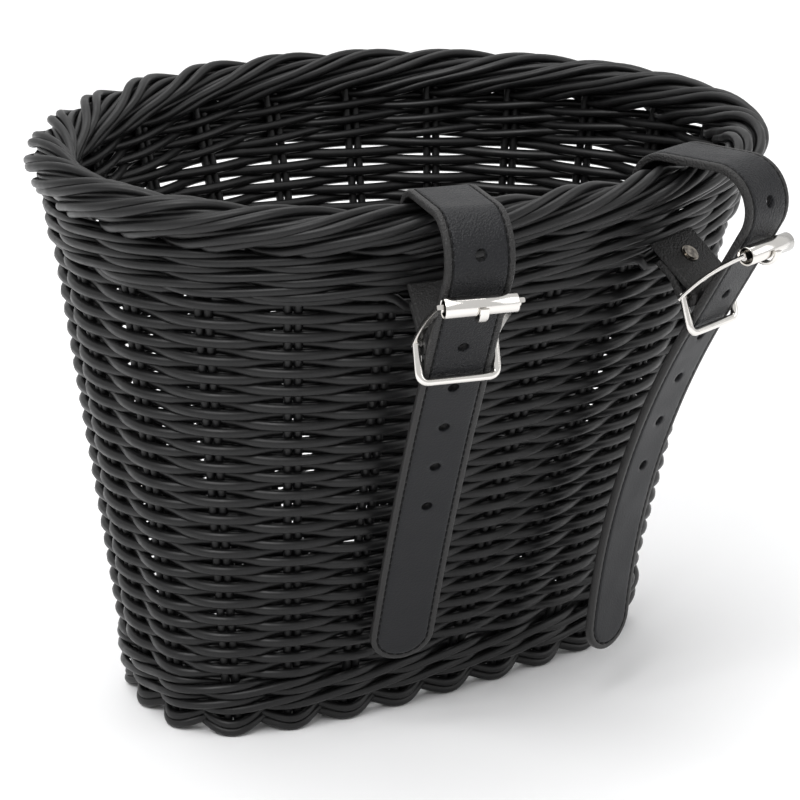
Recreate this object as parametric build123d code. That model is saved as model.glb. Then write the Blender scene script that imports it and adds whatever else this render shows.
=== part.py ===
from build123d import *
import os
from math import atan2, cos, degrees, hypot, pi, radians, sin

# A wicker basket that hangs from a handlebar by two buckled leather straps.
# Millimetres. Z is up, the straps are on the -Y side, the origin is on the resting plane.

# Overall shape
HEIGHT = 190.0
RIM_RADIUS = 8.2
RIM_HALF_WIDTH = 115.5
RIM_FRONT = 106.0
RIM_BACK = 97.0
RIM_FRONT_POWER = 1.85
RIM_BACK_POWER = 2.2
BASE_HALF_WIDTH = 88.0
BASE_FRONT = 52.0
BASE_BACK = 30.0
BASE_FRONT_POWER = 3.6
BASE_BACK_POWER = 2.8
BASE_LEVEL = 4.0
OUTLINE_POINTS = 92

# Wall, from the foot upwards
STAKE_PAIRS = 23
STAKE_RADIUS = 1.4
STAKE_GAP = 0.4
STAKE_FIT = 0.05
WALL_HALF = 4.0
FOOT_HALF = 5.0
FOOT_TOP = 8.0
LOWER_WALE_TOP = 20.0
UPPER_WALE_BOTTOM = 160.0
RIM_LEVEL = HEIGHT - RIM_RADIUS

# Floor
FLOOR_BOTTOM = 3.0
FLOOR_TOP = 10.0
STICK_PAIRS = 5
STICK_PITCH = 30.0

# Straps
STRAP_INDEX = 1.5
STRAP_WIDTH = 21.0
STRAP_THICK = 2.4
HALF_THICK = STRAP_THICK / 2
BAR_RADIUS = 11.1
BAR_FIT = 0.05
RIM_TO_BAR = 0.6
STRAP_EASE = 0.449
SEAT_CURVE = 100.0
RIM_TO_STRAP = STRAP_EASE + STRAP_WIDTH**2 / (8 * SEAT_CURVE)
WRAP_ANGLE = 120.0
STRAIGHT_RUN = 40.2
SLOT_CLEARANCE = 0.5
HOLE_RADIUS = 1.7
HOLE_PITCH = 17.5
PRONG_HOLE = 9.0
TAIL_LENGTH = 125.0
WALL_LEAN = degrees(atan2(RIM_BACK - BASE_BACK, RIM_LEVEL - BASE_LEVEL))
TAIL_STAND_OFF = {"left": 5.35, "right": -4.15}
TAIL_GAP = 0.3
STITCH_INSET = 2.0
STITCH_WIDTH = 0.6
STITCH_HEIGHT = 0.3

# Buckle
ROLLER_BAR_RADIUS = 1.6
CENTRE_BAR_RADIUS = 1.3
BOTTOM_BAR_RADIUS = 1.25
RUN_FIT = 0.05
ROLLER_RADIUS = 3.0
ROLLER_SLACK = 0.8
BOTTOM_SLACK = 0.6
FOLD_SLACK = 0.4
ROLLER_PLACE = PRONG_HOLE - 4.25
CENTRE_PLACE = 30.0
BOTTOM_PLACE = 38.0
ARM_THICK = 1.5
ARM_HALF = 1.8
ARM_CLEARANCE = 0.8
ROLLER_END_GAP = 0.2
PRONG_RADIUS = 0.9
PRONG_DEPTH = 4.2
PRONG_BEND = 2.0
PRONG_GAP = 0.35
FOLD_ANGLE = 38.0
FOLD_TAPER = 20.0
FOLD_FLAT = 5.5
LAYER_GAP = 0.1
RIVET_HEAD = 3.0
RIVET_HEAD_THICK = 1.0
RIVET_SHANK = 1.4


def rounded_outline(half_width, front, back, front_power, back_power, count):
    """Points at equal steps along a closed rounded outline, from the middle of the back."""
    fine = []
    steps = 1440
    for i in range(steps + 1):
        angle = 2 * pi * i / steps - pi / 2
        c = cos(angle)
        s = sin(angle)
        power = front_power if s > 0 else back_power
        depth = front if s > 0 else back
        x = half_width * (1 if c > 0 else -1) * abs(c) ** (2 / power)
        y = depth * (1 if s > 0 else -1) * abs(s) ** (2 / power)
        fine.append((x, y))
    lengths = [0.0]
    for a, b in zip(fine, fine[1:]):
        lengths.append(lengths[-1] + hypot(b[0] - a[0], b[1] - a[1]))
    points = []
    j = 0
    for i in range(count):
        target = lengths[-1] * i / count
        while lengths[j + 1] < target:
            j += 1
        share = (target - lengths[j]) / (lengths[j + 1] - lengths[j])
        ax, ay = fine[j]
        bx, by = fine[j + 1]
        points.append((ax + share * (bx - ax), ay + share * (by - ay)))
    return points


RIM_OUTLINE = rounded_outline(
    RIM_HALF_WIDTH, RIM_FRONT, RIM_BACK, RIM_FRONT_POWER, RIM_BACK_POWER, OUTLINE_POINTS
)
BASE_OUTLINE = rounded_outline(
    BASE_HALF_WIDTH, BASE_FRONT, BASE_BACK, BASE_FRONT_POWER, BASE_BACK_POWER, OUTLINE_POINTS
)


def level_outline(level, offset):
    """The wall's outline at a height, moved outwards by an offset."""
    share = (level - BASE_LEVEL) / (RIM_LEVEL - BASE_LEVEL)
    middle = [
        (b[0] + share * (r[0] - b[0]), b[1] + share * (r[1] - b[1]))
        for b, r in zip(BASE_OUTLINE, RIM_OUTLINE)
    ]
    points = []
    count = len(middle)
    for i in range(count):
        ax, ay = middle[i - 1]
        bx, by = middle[(i + 1) % count]
        length = hypot(bx - ax, by - ay)
        nx = (by - ay) / length
        ny = (ax - bx) / length
        points.append((middle[i][0] + offset * nx, middle[i][1] + offset * ny))
    return points


def level_wire(level, offset):
    """The outline at a height as a smooth closed wire."""
    points = [Vector(x, y, level) for x, y in level_outline(level, offset)]
    return Wire([Edge.make_spline(points, periodic=True)])


def wall_solid(bottom, top, offset):
    """The full solid inside the wall's outline between two heights."""
    return Solid.make_loft([level_wire(bottom, offset), level_wire(top, offset)], ruled=True)


def wall_band(bottom, top, half):
    """A ring of the wall between two heights."""
    return wall_solid(bottom, top, half) - wall_solid(bottom - 1, top + 1, -half)


def outline_place(position, level):
    """Point and outward direction of the wall at a stake position and height."""
    points = level_outline(level, 0.0)
    count = len(points)
    place = (position / STAKE_PAIRS) * count
    i = int(place // 1)
    share = place - i
    ax, ay = points[i % count]
    bx, by = points[(i + 1) % count]
    px, py = points[(i - 1) % count]
    qx, qy = points[(i + 2) % count]
    length = hypot(qx - px, qy - py)
    point = (ax + share * (bx - ax), ay + share * (by - ay))
    return point, ((qy - py) / length, (px - qx) / length)


def stake_position(i):
    """A stake pair's place, moved aside where a strap passes between two of them."""
    half = STRAP_WIDTH / 2 + SLOT_CLEARANCE + 2 * STAKE_RADIUS + STAKE_GAP / 2
    (ax, ay), _ = outline_place(STRAP_INDEX - 0.5, UPPER_WALE_BOTTOM)
    (bx, by), _ = outline_place(STRAP_INDEX + 0.5, UPPER_WALE_BOTTOM)
    room = max(0.5, half / hypot(bx - ax, by - ay))
    for middle in (STRAP_INDEX, STAKE_PAIRS - STRAP_INDEX):
        if abs(i - middle) < 1:
            return middle + (room if i > middle else -room)
    return i


def rod(start, end, radius):
    """A straight round rod between two points."""
    axis = Vector(*end) - Vector(*start)
    plane = Plane(origin=start, z_dir=axis)
    return Solid.make_cylinder(radius, axis.length, plane)


def stake_rods(radius):
    """Two upright rods side by side at each stake position."""
    rods = []
    spread = STAKE_RADIUS + STAKE_GAP / 2
    low = 1.5
    high = RIM_LEVEL - 1.0
    for i in range(STAKE_PAIRS):
        place = stake_position(i)
        (bx, by), (bnx, bny) = outline_place(place, low)
        (tx, ty), (tnx, tny) = outline_place(place, high)
        for side in (-1, 1):
            start = (bx - side * spread * bny, by + side * spread * bnx, low)
            end = (tx - side * spread * tny, ty + side * spread * tnx, high)
            rods.append(rod(start, end, radius))
    return rods


class Path:
    """A side path of lines and arcs; u is outwards from the wall, v is up."""

    def __init__(self, u, v, heading):
        self.u = u
        self.v = v
        self.heading = heading
        self.parts = []

    def line(self, length):
        self.parts.append((self.u, self.v, self.heading, length, 0.0))
        self.u += length * cos(radians(self.heading))
        self.v += length * sin(radians(self.heading))
        return self

    def arc(self, radius, turn):
        """Turn by an angle in degrees; positive turns to the left."""
        length = radius * radians(abs(turn))
        part = (self.u, self.v, self.heading, length, turn)
        self.u, self.v, self.heading = Path.along(part, length, 0.0)
        self.parts.append(part)
        return self

    @staticmethod
    def along(part, distance, offset):
        """Point at a distance along one part, moved to the left by an offset, and the heading there."""
        u, v, heading, length, turn = part
        start = radians(heading)
        if turn == 0.0:
            u += distance * cos(start)
            v += distance * sin(start)
            here = start
        else:
            radius = length / radians(turn)
            here = start + distance / radius
            u += radius * (sin(here) - sin(start))
            v += radius * (cos(start) - cos(here))
        return u - offset * sin(here), v + offset * cos(here), degrees(here)

    def length(self):
        return sum(part[3] for part in self.parts)

    def at(self, distance, offset=0.0):
        """Point and heading at a distance from the start."""
        for part in self.parts:
            if distance <= part[3]:
                return Path.along(part, distance, offset)
            distance -= part[3]
        return Path.along(self.parts[-1], self.parts[-1][3] + distance, offset)

    def edges(self, offset):
        """The path moved to the left by an offset, as edges in the side plane."""
        result = []
        for part in self.parts:
            points = [Path.along(part, share * part[3], offset)[:2] for share in (0.0, 0.5, 1.0)]
            a, b, c = [Vector(0, -u, v) for u, v in points]
            if part[4] == 0.0:
                result.append(Edge.make_line(a, c))
            else:
                result.append(Edge.make_three_point_arc(a, b, c))
        return result


def strip(path, low, high, width, middle=0.0):
    """The solid between two offsets of a path, across a width along X."""
    near = path.edges(low)
    far = path.edges(high)
    ends = [Edge.make_line(near[0] @ 0, far[0] @ 0), Edge.make_line(near[-1] @ 1, far[-1] @ 1)]
    face = Face(Wire(near + far + ends))
    shape = Solid.extrude(face, Vector(width, 0, 0))
    return Pos(middle - width / 2, 0, 0) * shape


def cross_bar(point, radius, half_length):
    """A round bar along X through a point of the side plane."""
    plane = Plane(origin=(-half_length, -point[0], point[1]), z_dir=(1, 0, 0))
    return Solid.make_cylinder(radius, 2 * half_length, plane)


def punch(path, distance, radius, reach=6.0, middle=0.0):
    """A round cutter square to the path."""
    u, v, heading = path.at(distance)
    normal = radians(heading + 90)
    direction = Vector(0, -cos(normal), sin(normal))
    origin = Vector(middle, -u, v) - direction * reach
    return Solid.make_cylinder(radius, 2 * reach, Plane(origin=origin, z_dir=direction))


def offset_point(path, distance, offset):
    """A point beside the path."""
    return path.at(distance, offset)[:2]


# The loop's side path, with the rim's centre at its origin
WRAP_RADIUS = BAR_RADIUS + BAR_FIT + HALF_THICK
CREST = RIM_RADIUS + RIM_TO_STRAP + HALF_THICK
BAR_CENTRE = (RIM_RADIUS + RIM_TO_BAR + BAR_RADIUS, CREST - WRAP_RADIUS)
FRONT_HEADING = -WRAP_ANGLE
INSIDE_RUN = CREST
straight_start = (
    BAR_CENTRE[0] + WRAP_RADIUS * cos(radians(90 - WRAP_ANGLE)),
    BAR_CENTRE[1] + WRAP_RADIUS * sin(radians(90 - WRAP_ANGLE)),
)
straight = Path(*straight_start, FRONT_HEADING).line(STRAIGHT_RUN)
HINGE_POINT = (straight.u, straight.v)
FOLD_RADIUS = CENTRE_BAR_RADIUS + RUN_FIT + HALF_THICK
CENTRE_BAR = offset_point(straight, CENTRE_PLACE, -(HALF_THICK + FOLD_SLACK + FOLD_RADIUS + HALF_THICK))
ROLLER_BAR = offset_point(straight, ROLLER_PLACE, HALF_THICK + ROLLER_SLACK + ROLLER_RADIUS)
BOTTOM_BAR = offset_point(straight, BOTTOM_PLACE, HALF_THICK + BOTTOM_SLACK + BOTTOM_BAR_RADIUS)
layer_heading = 180 - FOLD_ANGLE
layer_start = (
    CENTRE_BAR[0] + FOLD_RADIUS * sin(radians(FOLD_ANGLE)),
    CENTRE_BAR[1] + FOLD_RADIUS * cos(radians(FOLD_ANGLE)),
)


def fold_path():
    """From the free end of the fold to the layer that goes through the weave."""
    arc_drop = FOLD_RADIUS * (1 - cos(radians(FOLD_TAPER)))
    taper_drop = 2 * FOLD_RADIUS - arc_drop - STRAP_THICK - LAYER_GAP
    bend = 6.0
    bend_drop = bend * (1 - cos(radians(FOLD_TAPER)))
    taper_run = (taper_drop - bend_drop) / sin(radians(FOLD_TAPER))
    back = Path(*layer_start, layer_heading + 180)
    back.arc(FOLD_RADIUS, -(180 + FOLD_TAPER))
    back.line(taper_run)
    back.arc(bend, FOLD_TAPER)
    back.line(FOLD_FLAT)
    path = Path(back.u, back.v, back.heading + 180)
    path.line(FOLD_FLAT)
    path.arc(bend, -FOLD_TAPER)
    path.line(taper_run)
    path.arc(FOLD_RADIUS, 180 + FOLD_TAPER)
    return path


INSIDE_BEND = 4.0
turn_inside = layer_heading - 90
layer_run = (layer_start[0] + INSIDE_RUN) / cos(radians(FOLD_ANGLE))
bend_reach = INSIDE_BEND * sin(radians(turn_inside / 2)) / cos(radians(turn_inside / 2))


def through_layer():
    """The straight layer from the centre bar through the weave to the inside."""
    return Path(*layer_start, layer_heading).line(layer_run - bend_reach)


def loop_path():
    """The whole loop, from the free end of its fold to the hinge of the tail."""
    path = fold_path()
    path.line(layer_run - bend_reach)
    path.arc(INSIDE_BEND, -turn_inside)
    path.line(-path.v)
    path.arc(INSIDE_RUN, -90.0)
    path.line(BAR_CENTRE[0] - path.u)
    path.arc(WRAP_RADIUS, -WRAP_ANGLE)
    path.line(STRAIGHT_RUN)
    return path


def tail_path(side):
    """The free end, hanging from the hinge point."""
    bend = 2 * (WRAP_ANGLE - 90.0 - WALL_LEAN - TAIL_STAND_OFF[side])
    return Path(*HINGE_POINT, FRONT_HEADING).arc(TAIL_LENGTH / radians(bend), bend)


def loop_solid():
    path = loop_path()
    shape = strip(path, -HALF_THICK, HALF_THICK, STRAP_WIDTH)
    shape -= cross_bar(HINGE_POINT, HALF_THICK + TAIL_GAP, STRAP_WIDTH)
    shape -= cross_bar(CENTRE_BAR, FOLD_RADIUS + HALF_THICK + 0.5, PRONG_RADIUS + 0.7)
    start = path.length() - STRAIGHT_RUN
    for place in (PRONG_HOLE - HOLE_PITCH, PRONG_HOLE, PRONG_HOLE + HOLE_PITCH):
        shape -= punch(path, start + place, HOLE_RADIUS)
    shape -= rivet_shank(RIVET_SHANK)
    return shape


def rivet_place():
    """Where the rivet goes through the fold, and the way it points."""
    u, v, heading = fold_path().at(FOLD_FLAT / 2)
    return u, v, heading + 90


def rivet_cylinder(radius, low, high):
    u, v, heading = rivet_place()
    direction = Vector(0, -cos(radians(heading)), sin(radians(heading)))
    origin = Vector(0, -u, v) + direction * low
    return Solid.make_cylinder(radius, high - low, Plane(origin=origin, z_dir=direction))


FOLD_TOP = HALF_THICK + LAYER_GAP + STRAP_THICK


def rivet_shank(radius):
    return rivet_cylinder(radius, -HALF_THICK, FOLD_TOP)


def rivet_solid():
    step = RIVET_HEAD_THICK / 2
    head = rivet_cylinder(RIVET_HEAD, FOLD_TOP, FOLD_TOP + step)
    crown = rivet_cylinder(RIVET_HEAD - step, FOLD_TOP, FOLD_TOP + 2 * step)
    return head + crown + rivet_shank(RIVET_SHANK)


def rivet_cap_solid():
    return rivet_cylinder(RIVET_HEAD, -HALF_THICK - RIVET_HEAD_THICK, -HALF_THICK)


def loop_stitching():
    """Two rows of thread on the outer face of the loop."""
    path = Path(-INSIDE_RUN, 0.0, 90.0)
    path.arc(INSIDE_RUN, -90.0)
    path.line(BAR_CENTRE[0] - path.u)
    path.arc(WRAP_RADIUS, -WRAP_ANGLE)
    path.line(BOTTOM_PLACE - 4.0)
    place = STRAP_WIDTH / 2 - STITCH_INSET
    rows = [
        strip(path, HALF_THICK, HALF_THICK + STITCH_HEIGHT, STITCH_WIDTH, side * place)
        for side in (-1, 1)
    ]
    return Compound(children=rows)


def tail_outline_cutter(path, inset, reach):
    """A long rounded outline, square to the middle of the tail, to trim its tip."""
    u, v, heading = path.at(TAIL_LENGTH)
    u0, v0, _ = path.at(0.0)
    chord = degrees(atan2(v - v0, u - u0))
    along = Vector(0, -cos(radians(chord)), sin(radians(chord)))
    radius = STRAP_WIDTH / 2 - inset
    span = hypot(u - u0, v - v0)
    plane = Plane(origin=(0, -u0, v0), x_dir=along, z_dir=(0, -sin(radians(chord)), -cos(radians(chord))))
    body = Rectangle(span - STRAP_WIDTH / 2 + 4, 2 * radius, align=(Align.MIN, Align.CENTER))
    tip = Pos(span - STRAP_WIDTH / 2, 0) * Circle(radius)
    outline = Pos(-4, 0) * body + tip
    return extrude(plane * outline, amount=reach, both=True)


def tail_solid(side):
    path = tail_path(side)
    shape = strip(path, -HALF_THICK, HALF_THICK, STRAP_WIDTH)
    shape += cross_bar(HINGE_POINT, HALF_THICK, STRAP_WIDTH / 2)
    shape &= tail_outline_cutter(path, 0.0, 40.0)
    first = PRONG_HOLE + 2 * HOLE_PITCH - STRAIGHT_RUN
    for i in range(4):
        shape -= punch(path, first + i * HOLE_PITCH, HOLE_RADIUS)
    return shape


def tail_stitching(side):
    """One row of thread round the outer face of the tail."""
    path = tail_path(side)
    skin = strip(path, HALF_THICK, HALF_THICK + STITCH_HEIGHT, STRAP_WIDTH)
    skin &= tail_outline_cutter(path, STITCH_INSET - STITCH_WIDTH / 2, 40.0)
    skin -= tail_outline_cutter(path, STITCH_INSET + STITCH_WIDTH / 2, 41.0)
    skin -= cross_bar(HINGE_POINT, 4.0, STRAP_WIDTH)
    return skin


ARM_MIDDLE = STRAP_WIDTH / 2 + ARM_CLEARANCE + ARM_THICK / 2
FRAME_HALF = ARM_MIDDLE + ARM_THICK / 2


def arm_piece(start, end):
    """A flat arm with round ends between two bars."""
    length = hypot(end[0] - start[0], end[1] - start[1])
    angle = degrees(atan2(end[1] - start[1], end[0] - start[0]))
    path = Path(*start, angle).line(length)
    shape = strip(path, -ARM_HALF, ARM_HALF, ARM_THICK)
    for point in (start, end):
        shape += cross_bar(point, ARM_HALF, ARM_THICK / 2)
    return shape


def buckle_frame():
    shape = cross_bar(ROLLER_BAR, ROLLER_BAR_RADIUS, FRAME_HALF)
    shape += cross_bar(CENTRE_BAR, CENTRE_BAR_RADIUS, FRAME_HALF)
    shape += cross_bar(BOTTOM_BAR, BOTTOM_BAR_RADIUS, FRAME_HALF)
    for side in (-1, 1):
        for start, end in ((ROLLER_BAR, CENTRE_BAR), (CENTRE_BAR, BOTTOM_BAR)):
            shape += Pos(side * ARM_MIDDLE, 0, 0) * arm_piece(start, end)
    return shape


def buckle_roller():
    half = STRAP_WIDTH / 2 + ARM_CLEARANCE - ROLLER_END_GAP
    tube = cross_bar(ROLLER_BAR, ROLLER_RADIUS, half)
    return tube - cross_bar(ROLLER_BAR, ROLLER_BAR_RADIUS + RUN_FIT, half + 1)


def buckle_prong():
    """An eye on the centre bar, a run behind the strap, and a hook through the hole over the roller."""
    run_offset = -PRONG_DEPTH
    start_u, start_v = offset_point(straight, CENTRE_PLACE, run_offset)
    hook_radius = ROLLER_RADIUS + PRONG_GAP + PRONG_RADIUS
    path = Path(start_u, start_v, FRONT_HEADING + 180)
    path.line(CENTRE_PLACE - PRONG_HOLE - PRONG_BEND)
    path.arc(PRONG_BEND, -90.0)
    roller_offset = HALF_THICK + ROLLER_SLACK + ROLLER_RADIUS
    path.line(roller_offset + PRONG_DEPTH - PRONG_BEND)
    path.arc(hook_radius, 80.0)
    u, v, heading = path.at(0.0)
    direction = Vector(0, -cos(radians(heading)), sin(radians(heading)))
    section = Plane(origin=(0, -u, v), z_dir=direction) * Circle(PRONG_RADIUS)
    wire = Wire(path.edges(0.0))
    shape = sweep(section, path=wire)
    shape += cross_bar(CENTRE_BAR, CENTRE_BAR_RADIUS + RUN_FIT + 2 * PRONG_RADIUS, PRONG_RADIUS + 0.15)
    return shape - cross_bar(CENTRE_BAR, CENTRE_BAR_RADIUS + RUN_FIT, PRONG_RADIUS + 1)


def strap_location(side):
    """Where a strap's side path sits: on the rim's centre line, turned with the round wall."""
    sign = 1 if side == "right" else -1
    (x, y), (nx, ny) = outline_place(STRAP_INDEX, RIM_LEVEL)
    turn = degrees(atan2(nx, -ny))
    return Location((sign * x, y, RIM_LEVEL), (0, 0, sign * turn))


def slot_cutter():
    """The opening that the strap is threaded through."""
    path = through_layer().arc(INSIDE_BEND, -turn_inside).line(3.0)
    return strip(
        path,
        -HALF_THICK - SLOT_CLEARANCE,
        HALF_THICK + SLOT_CLEARANCE,
        STRAP_WIDTH + 2 * SLOT_CLEARANCE,
    )


def rim_border():
    """The thick rolled border, made in two halves."""
    edge = level_wire(RIM_LEVEL, 0.0).edges()[0]
    halves = []
    for start in (0.0, 0.5):
        half = edge.trim(start, start + 0.5)
        plane = Plane(origin=half @ 0, z_dir=half % 0)
        halves.append(sweep(plane * Circle(RIM_RADIUS), path=Wire([half])))
    return halves[0] + halves[1]


shapes = {}

stakes = stake_rods(STAKE_RADIUS)
stake_holes = stake_rods(STAKE_RADIUS + STAKE_FIT)
rim = rim_border()
slots = [strap_location(side) * slot_cutter() for side in ("left", "right")]
bands = {
    "foot_border": wall_band(0.0, FOOT_TOP, FOOT_HALF),
    "lower_wale": wall_band(FOOT_TOP, LOWER_WALE_TOP, WALL_HALF + 0.6),
    "side_weave": wall_band(LOWER_WALE_TOP, UPPER_WALE_BOTTOM, WALL_HALF),
    "upper_wale": wall_band(UPPER_WALE_BOTTOM, RIM_LEVEL - 3.0, WALL_HALF + 0.4) - rim,
}
for name, band in bands.items():
    shape = band - stake_holes
    if name in ("side_weave", "upper_wale"):
        for slot in slots:
            shape -= slot
    shapes[name] = shape
shapes["rim_border"] = rim - stake_holes
shapes["side_stakes"] = Compound(stakes)

floor = wall_solid(FLOOR_BOTTOM, FLOOR_TOP, -FOOT_HALF)


def stick_rods(radius, margin):
    """Pairs of straight rods across the floor, ending inside its edge."""
    inside = wall_solid(FLOOR_BOTTOM, FLOOR_TOP, -FOOT_HALF - margin)
    level = (FLOOR_BOTTOM + FLOOR_TOP) / 2
    rods = []
    for i in range(STICK_PAIRS):
        middle = (i - (STICK_PAIRS - 1) / 2) * STICK_PITCH
        for side in (-1, 1):
            x = middle + side * (STAKE_RADIUS + STAKE_GAP / 2)
            long_rod = rod((x, -BASE_BACK, level), (x, BASE_FRONT, level), radius)
            rods.extend((long_rod & inside).solids())
    return rods


shapes["base_weave"] = floor - stick_rods(STAKE_RADIUS + STAKE_FIT, 1.45)
shapes["base_sticks"] = Compound(stick_rods(STAKE_RADIUS, 1.5))

for side in ("left", "right"):
    place = strap_location(side)
    shapes[f"{side}_strap_loop"] = place * loop_solid()
    shapes[f"{side}_strap_tail"] = place * tail_solid(side)
    shapes[f"{side}_loop_stitching"] = place * loop_stitching()
    shapes[f"{side}_tail_stitching"] = place * tail_stitching(side)
    shapes[f"{side}_rivet"] = place * rivet_solid()
    shapes[f"{side}_rivet_cap"] = place * rivet_cap_solid()
    shapes[f"{side}_buckle_frame"] = place * buckle_frame()
    shapes[f"{side}_buckle_roller"] = place * buckle_roller()
    shapes[f"{side}_buckle_prong"] = place * buckle_prong()

# The origin goes under the middle of the whole basket, straps and buckles included
front = max(shape.bounding_box().max.Y for shape in shapes.values())
back = min(shape.bounding_box().min.Y for shape in shapes.values())
CENTRE_SHIFT = Pos(0, -(front + back) / 2, 0)

os.makedirs("parts", exist_ok=True)
for name, shape in shapes.items():
    placed = CENTRE_SHIFT * shape
    export_step(placed, f"parts/{name}.step")
    print(name, len(placed.solids()), round(placed.volume, 1), placed.is_valid)
print("shift", CENTRE_SHIFT.position.Y)
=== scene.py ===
"""A woven handlebar basket with two buckled straps: its finished surfaces, floor, lights and camera."""

import logging
from dataclasses import dataclass
from enum import Enum
from math import atan2, ceil, copysign, cos, degrees, hypot, pi, radians, sin, sqrt

import bmesh
import bpy
from mathutils import Euler, Matrix, Vector
from mathutils.geometry import delaunay_2d_cdt


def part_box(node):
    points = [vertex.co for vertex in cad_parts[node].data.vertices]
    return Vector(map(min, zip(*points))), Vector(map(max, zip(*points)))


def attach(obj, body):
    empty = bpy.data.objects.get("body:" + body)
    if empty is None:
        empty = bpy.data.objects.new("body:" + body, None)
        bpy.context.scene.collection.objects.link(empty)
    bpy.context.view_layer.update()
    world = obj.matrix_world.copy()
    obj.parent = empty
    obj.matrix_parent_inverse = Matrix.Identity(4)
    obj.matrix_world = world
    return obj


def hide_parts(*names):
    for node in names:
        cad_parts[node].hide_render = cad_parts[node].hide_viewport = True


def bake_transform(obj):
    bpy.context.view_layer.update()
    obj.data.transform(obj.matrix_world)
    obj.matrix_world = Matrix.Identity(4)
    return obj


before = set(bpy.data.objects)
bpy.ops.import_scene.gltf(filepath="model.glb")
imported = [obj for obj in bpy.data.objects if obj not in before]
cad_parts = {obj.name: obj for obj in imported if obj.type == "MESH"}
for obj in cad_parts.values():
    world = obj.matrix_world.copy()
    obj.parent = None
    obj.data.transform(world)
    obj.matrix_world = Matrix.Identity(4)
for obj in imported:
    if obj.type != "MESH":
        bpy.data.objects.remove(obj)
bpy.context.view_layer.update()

LOG = logging.getLogger("basket")
MM = 0.001


class Side(Enum):
    """The two straps, and the sign of X on their side."""

    LEFT = -1
    RIGHT = 1

    @property
    def word(self) -> str:
        """The side's name as the pieces spell it."""
        return self.name.lower()


# ---------------------------------------------------------------- node trees


class Field:
    """A value that a node tree works out. Arithmetic on it adds maths nodes."""

    def __init__(self, graph: "NodeGraph", socket: bpy.types.NodeSocket) -> None:
        """Keep a socket with its tree."""
        self.graph = graph
        self.socket = socket

    def __add__(self, other: "Field | float") -> "Field":
        """The sum."""
        return self.graph.maths("ADD", self, other)

    def __sub__(self, other: "Field | float") -> "Field":
        """The difference."""
        return self.graph.maths("SUBTRACT", self, other)

    def __mul__(self, other: "Field | float") -> "Field":
        """The product."""
        return self.graph.maths("MULTIPLY", self, other)

    def __truediv__(self, other: "Field | float") -> "Field":
        """The quotient."""
        return self.graph.maths("DIVIDE", self, other)

    def call(self, operation: str, *others: "Field | float") -> "Field":
        """One named maths operation on this value.

        Args:
            operation: the maths node's operation.
            others: its further values.

        Returns:
            The result as a field.
        """
        return self.graph.maths(operation, self, *others)


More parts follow.
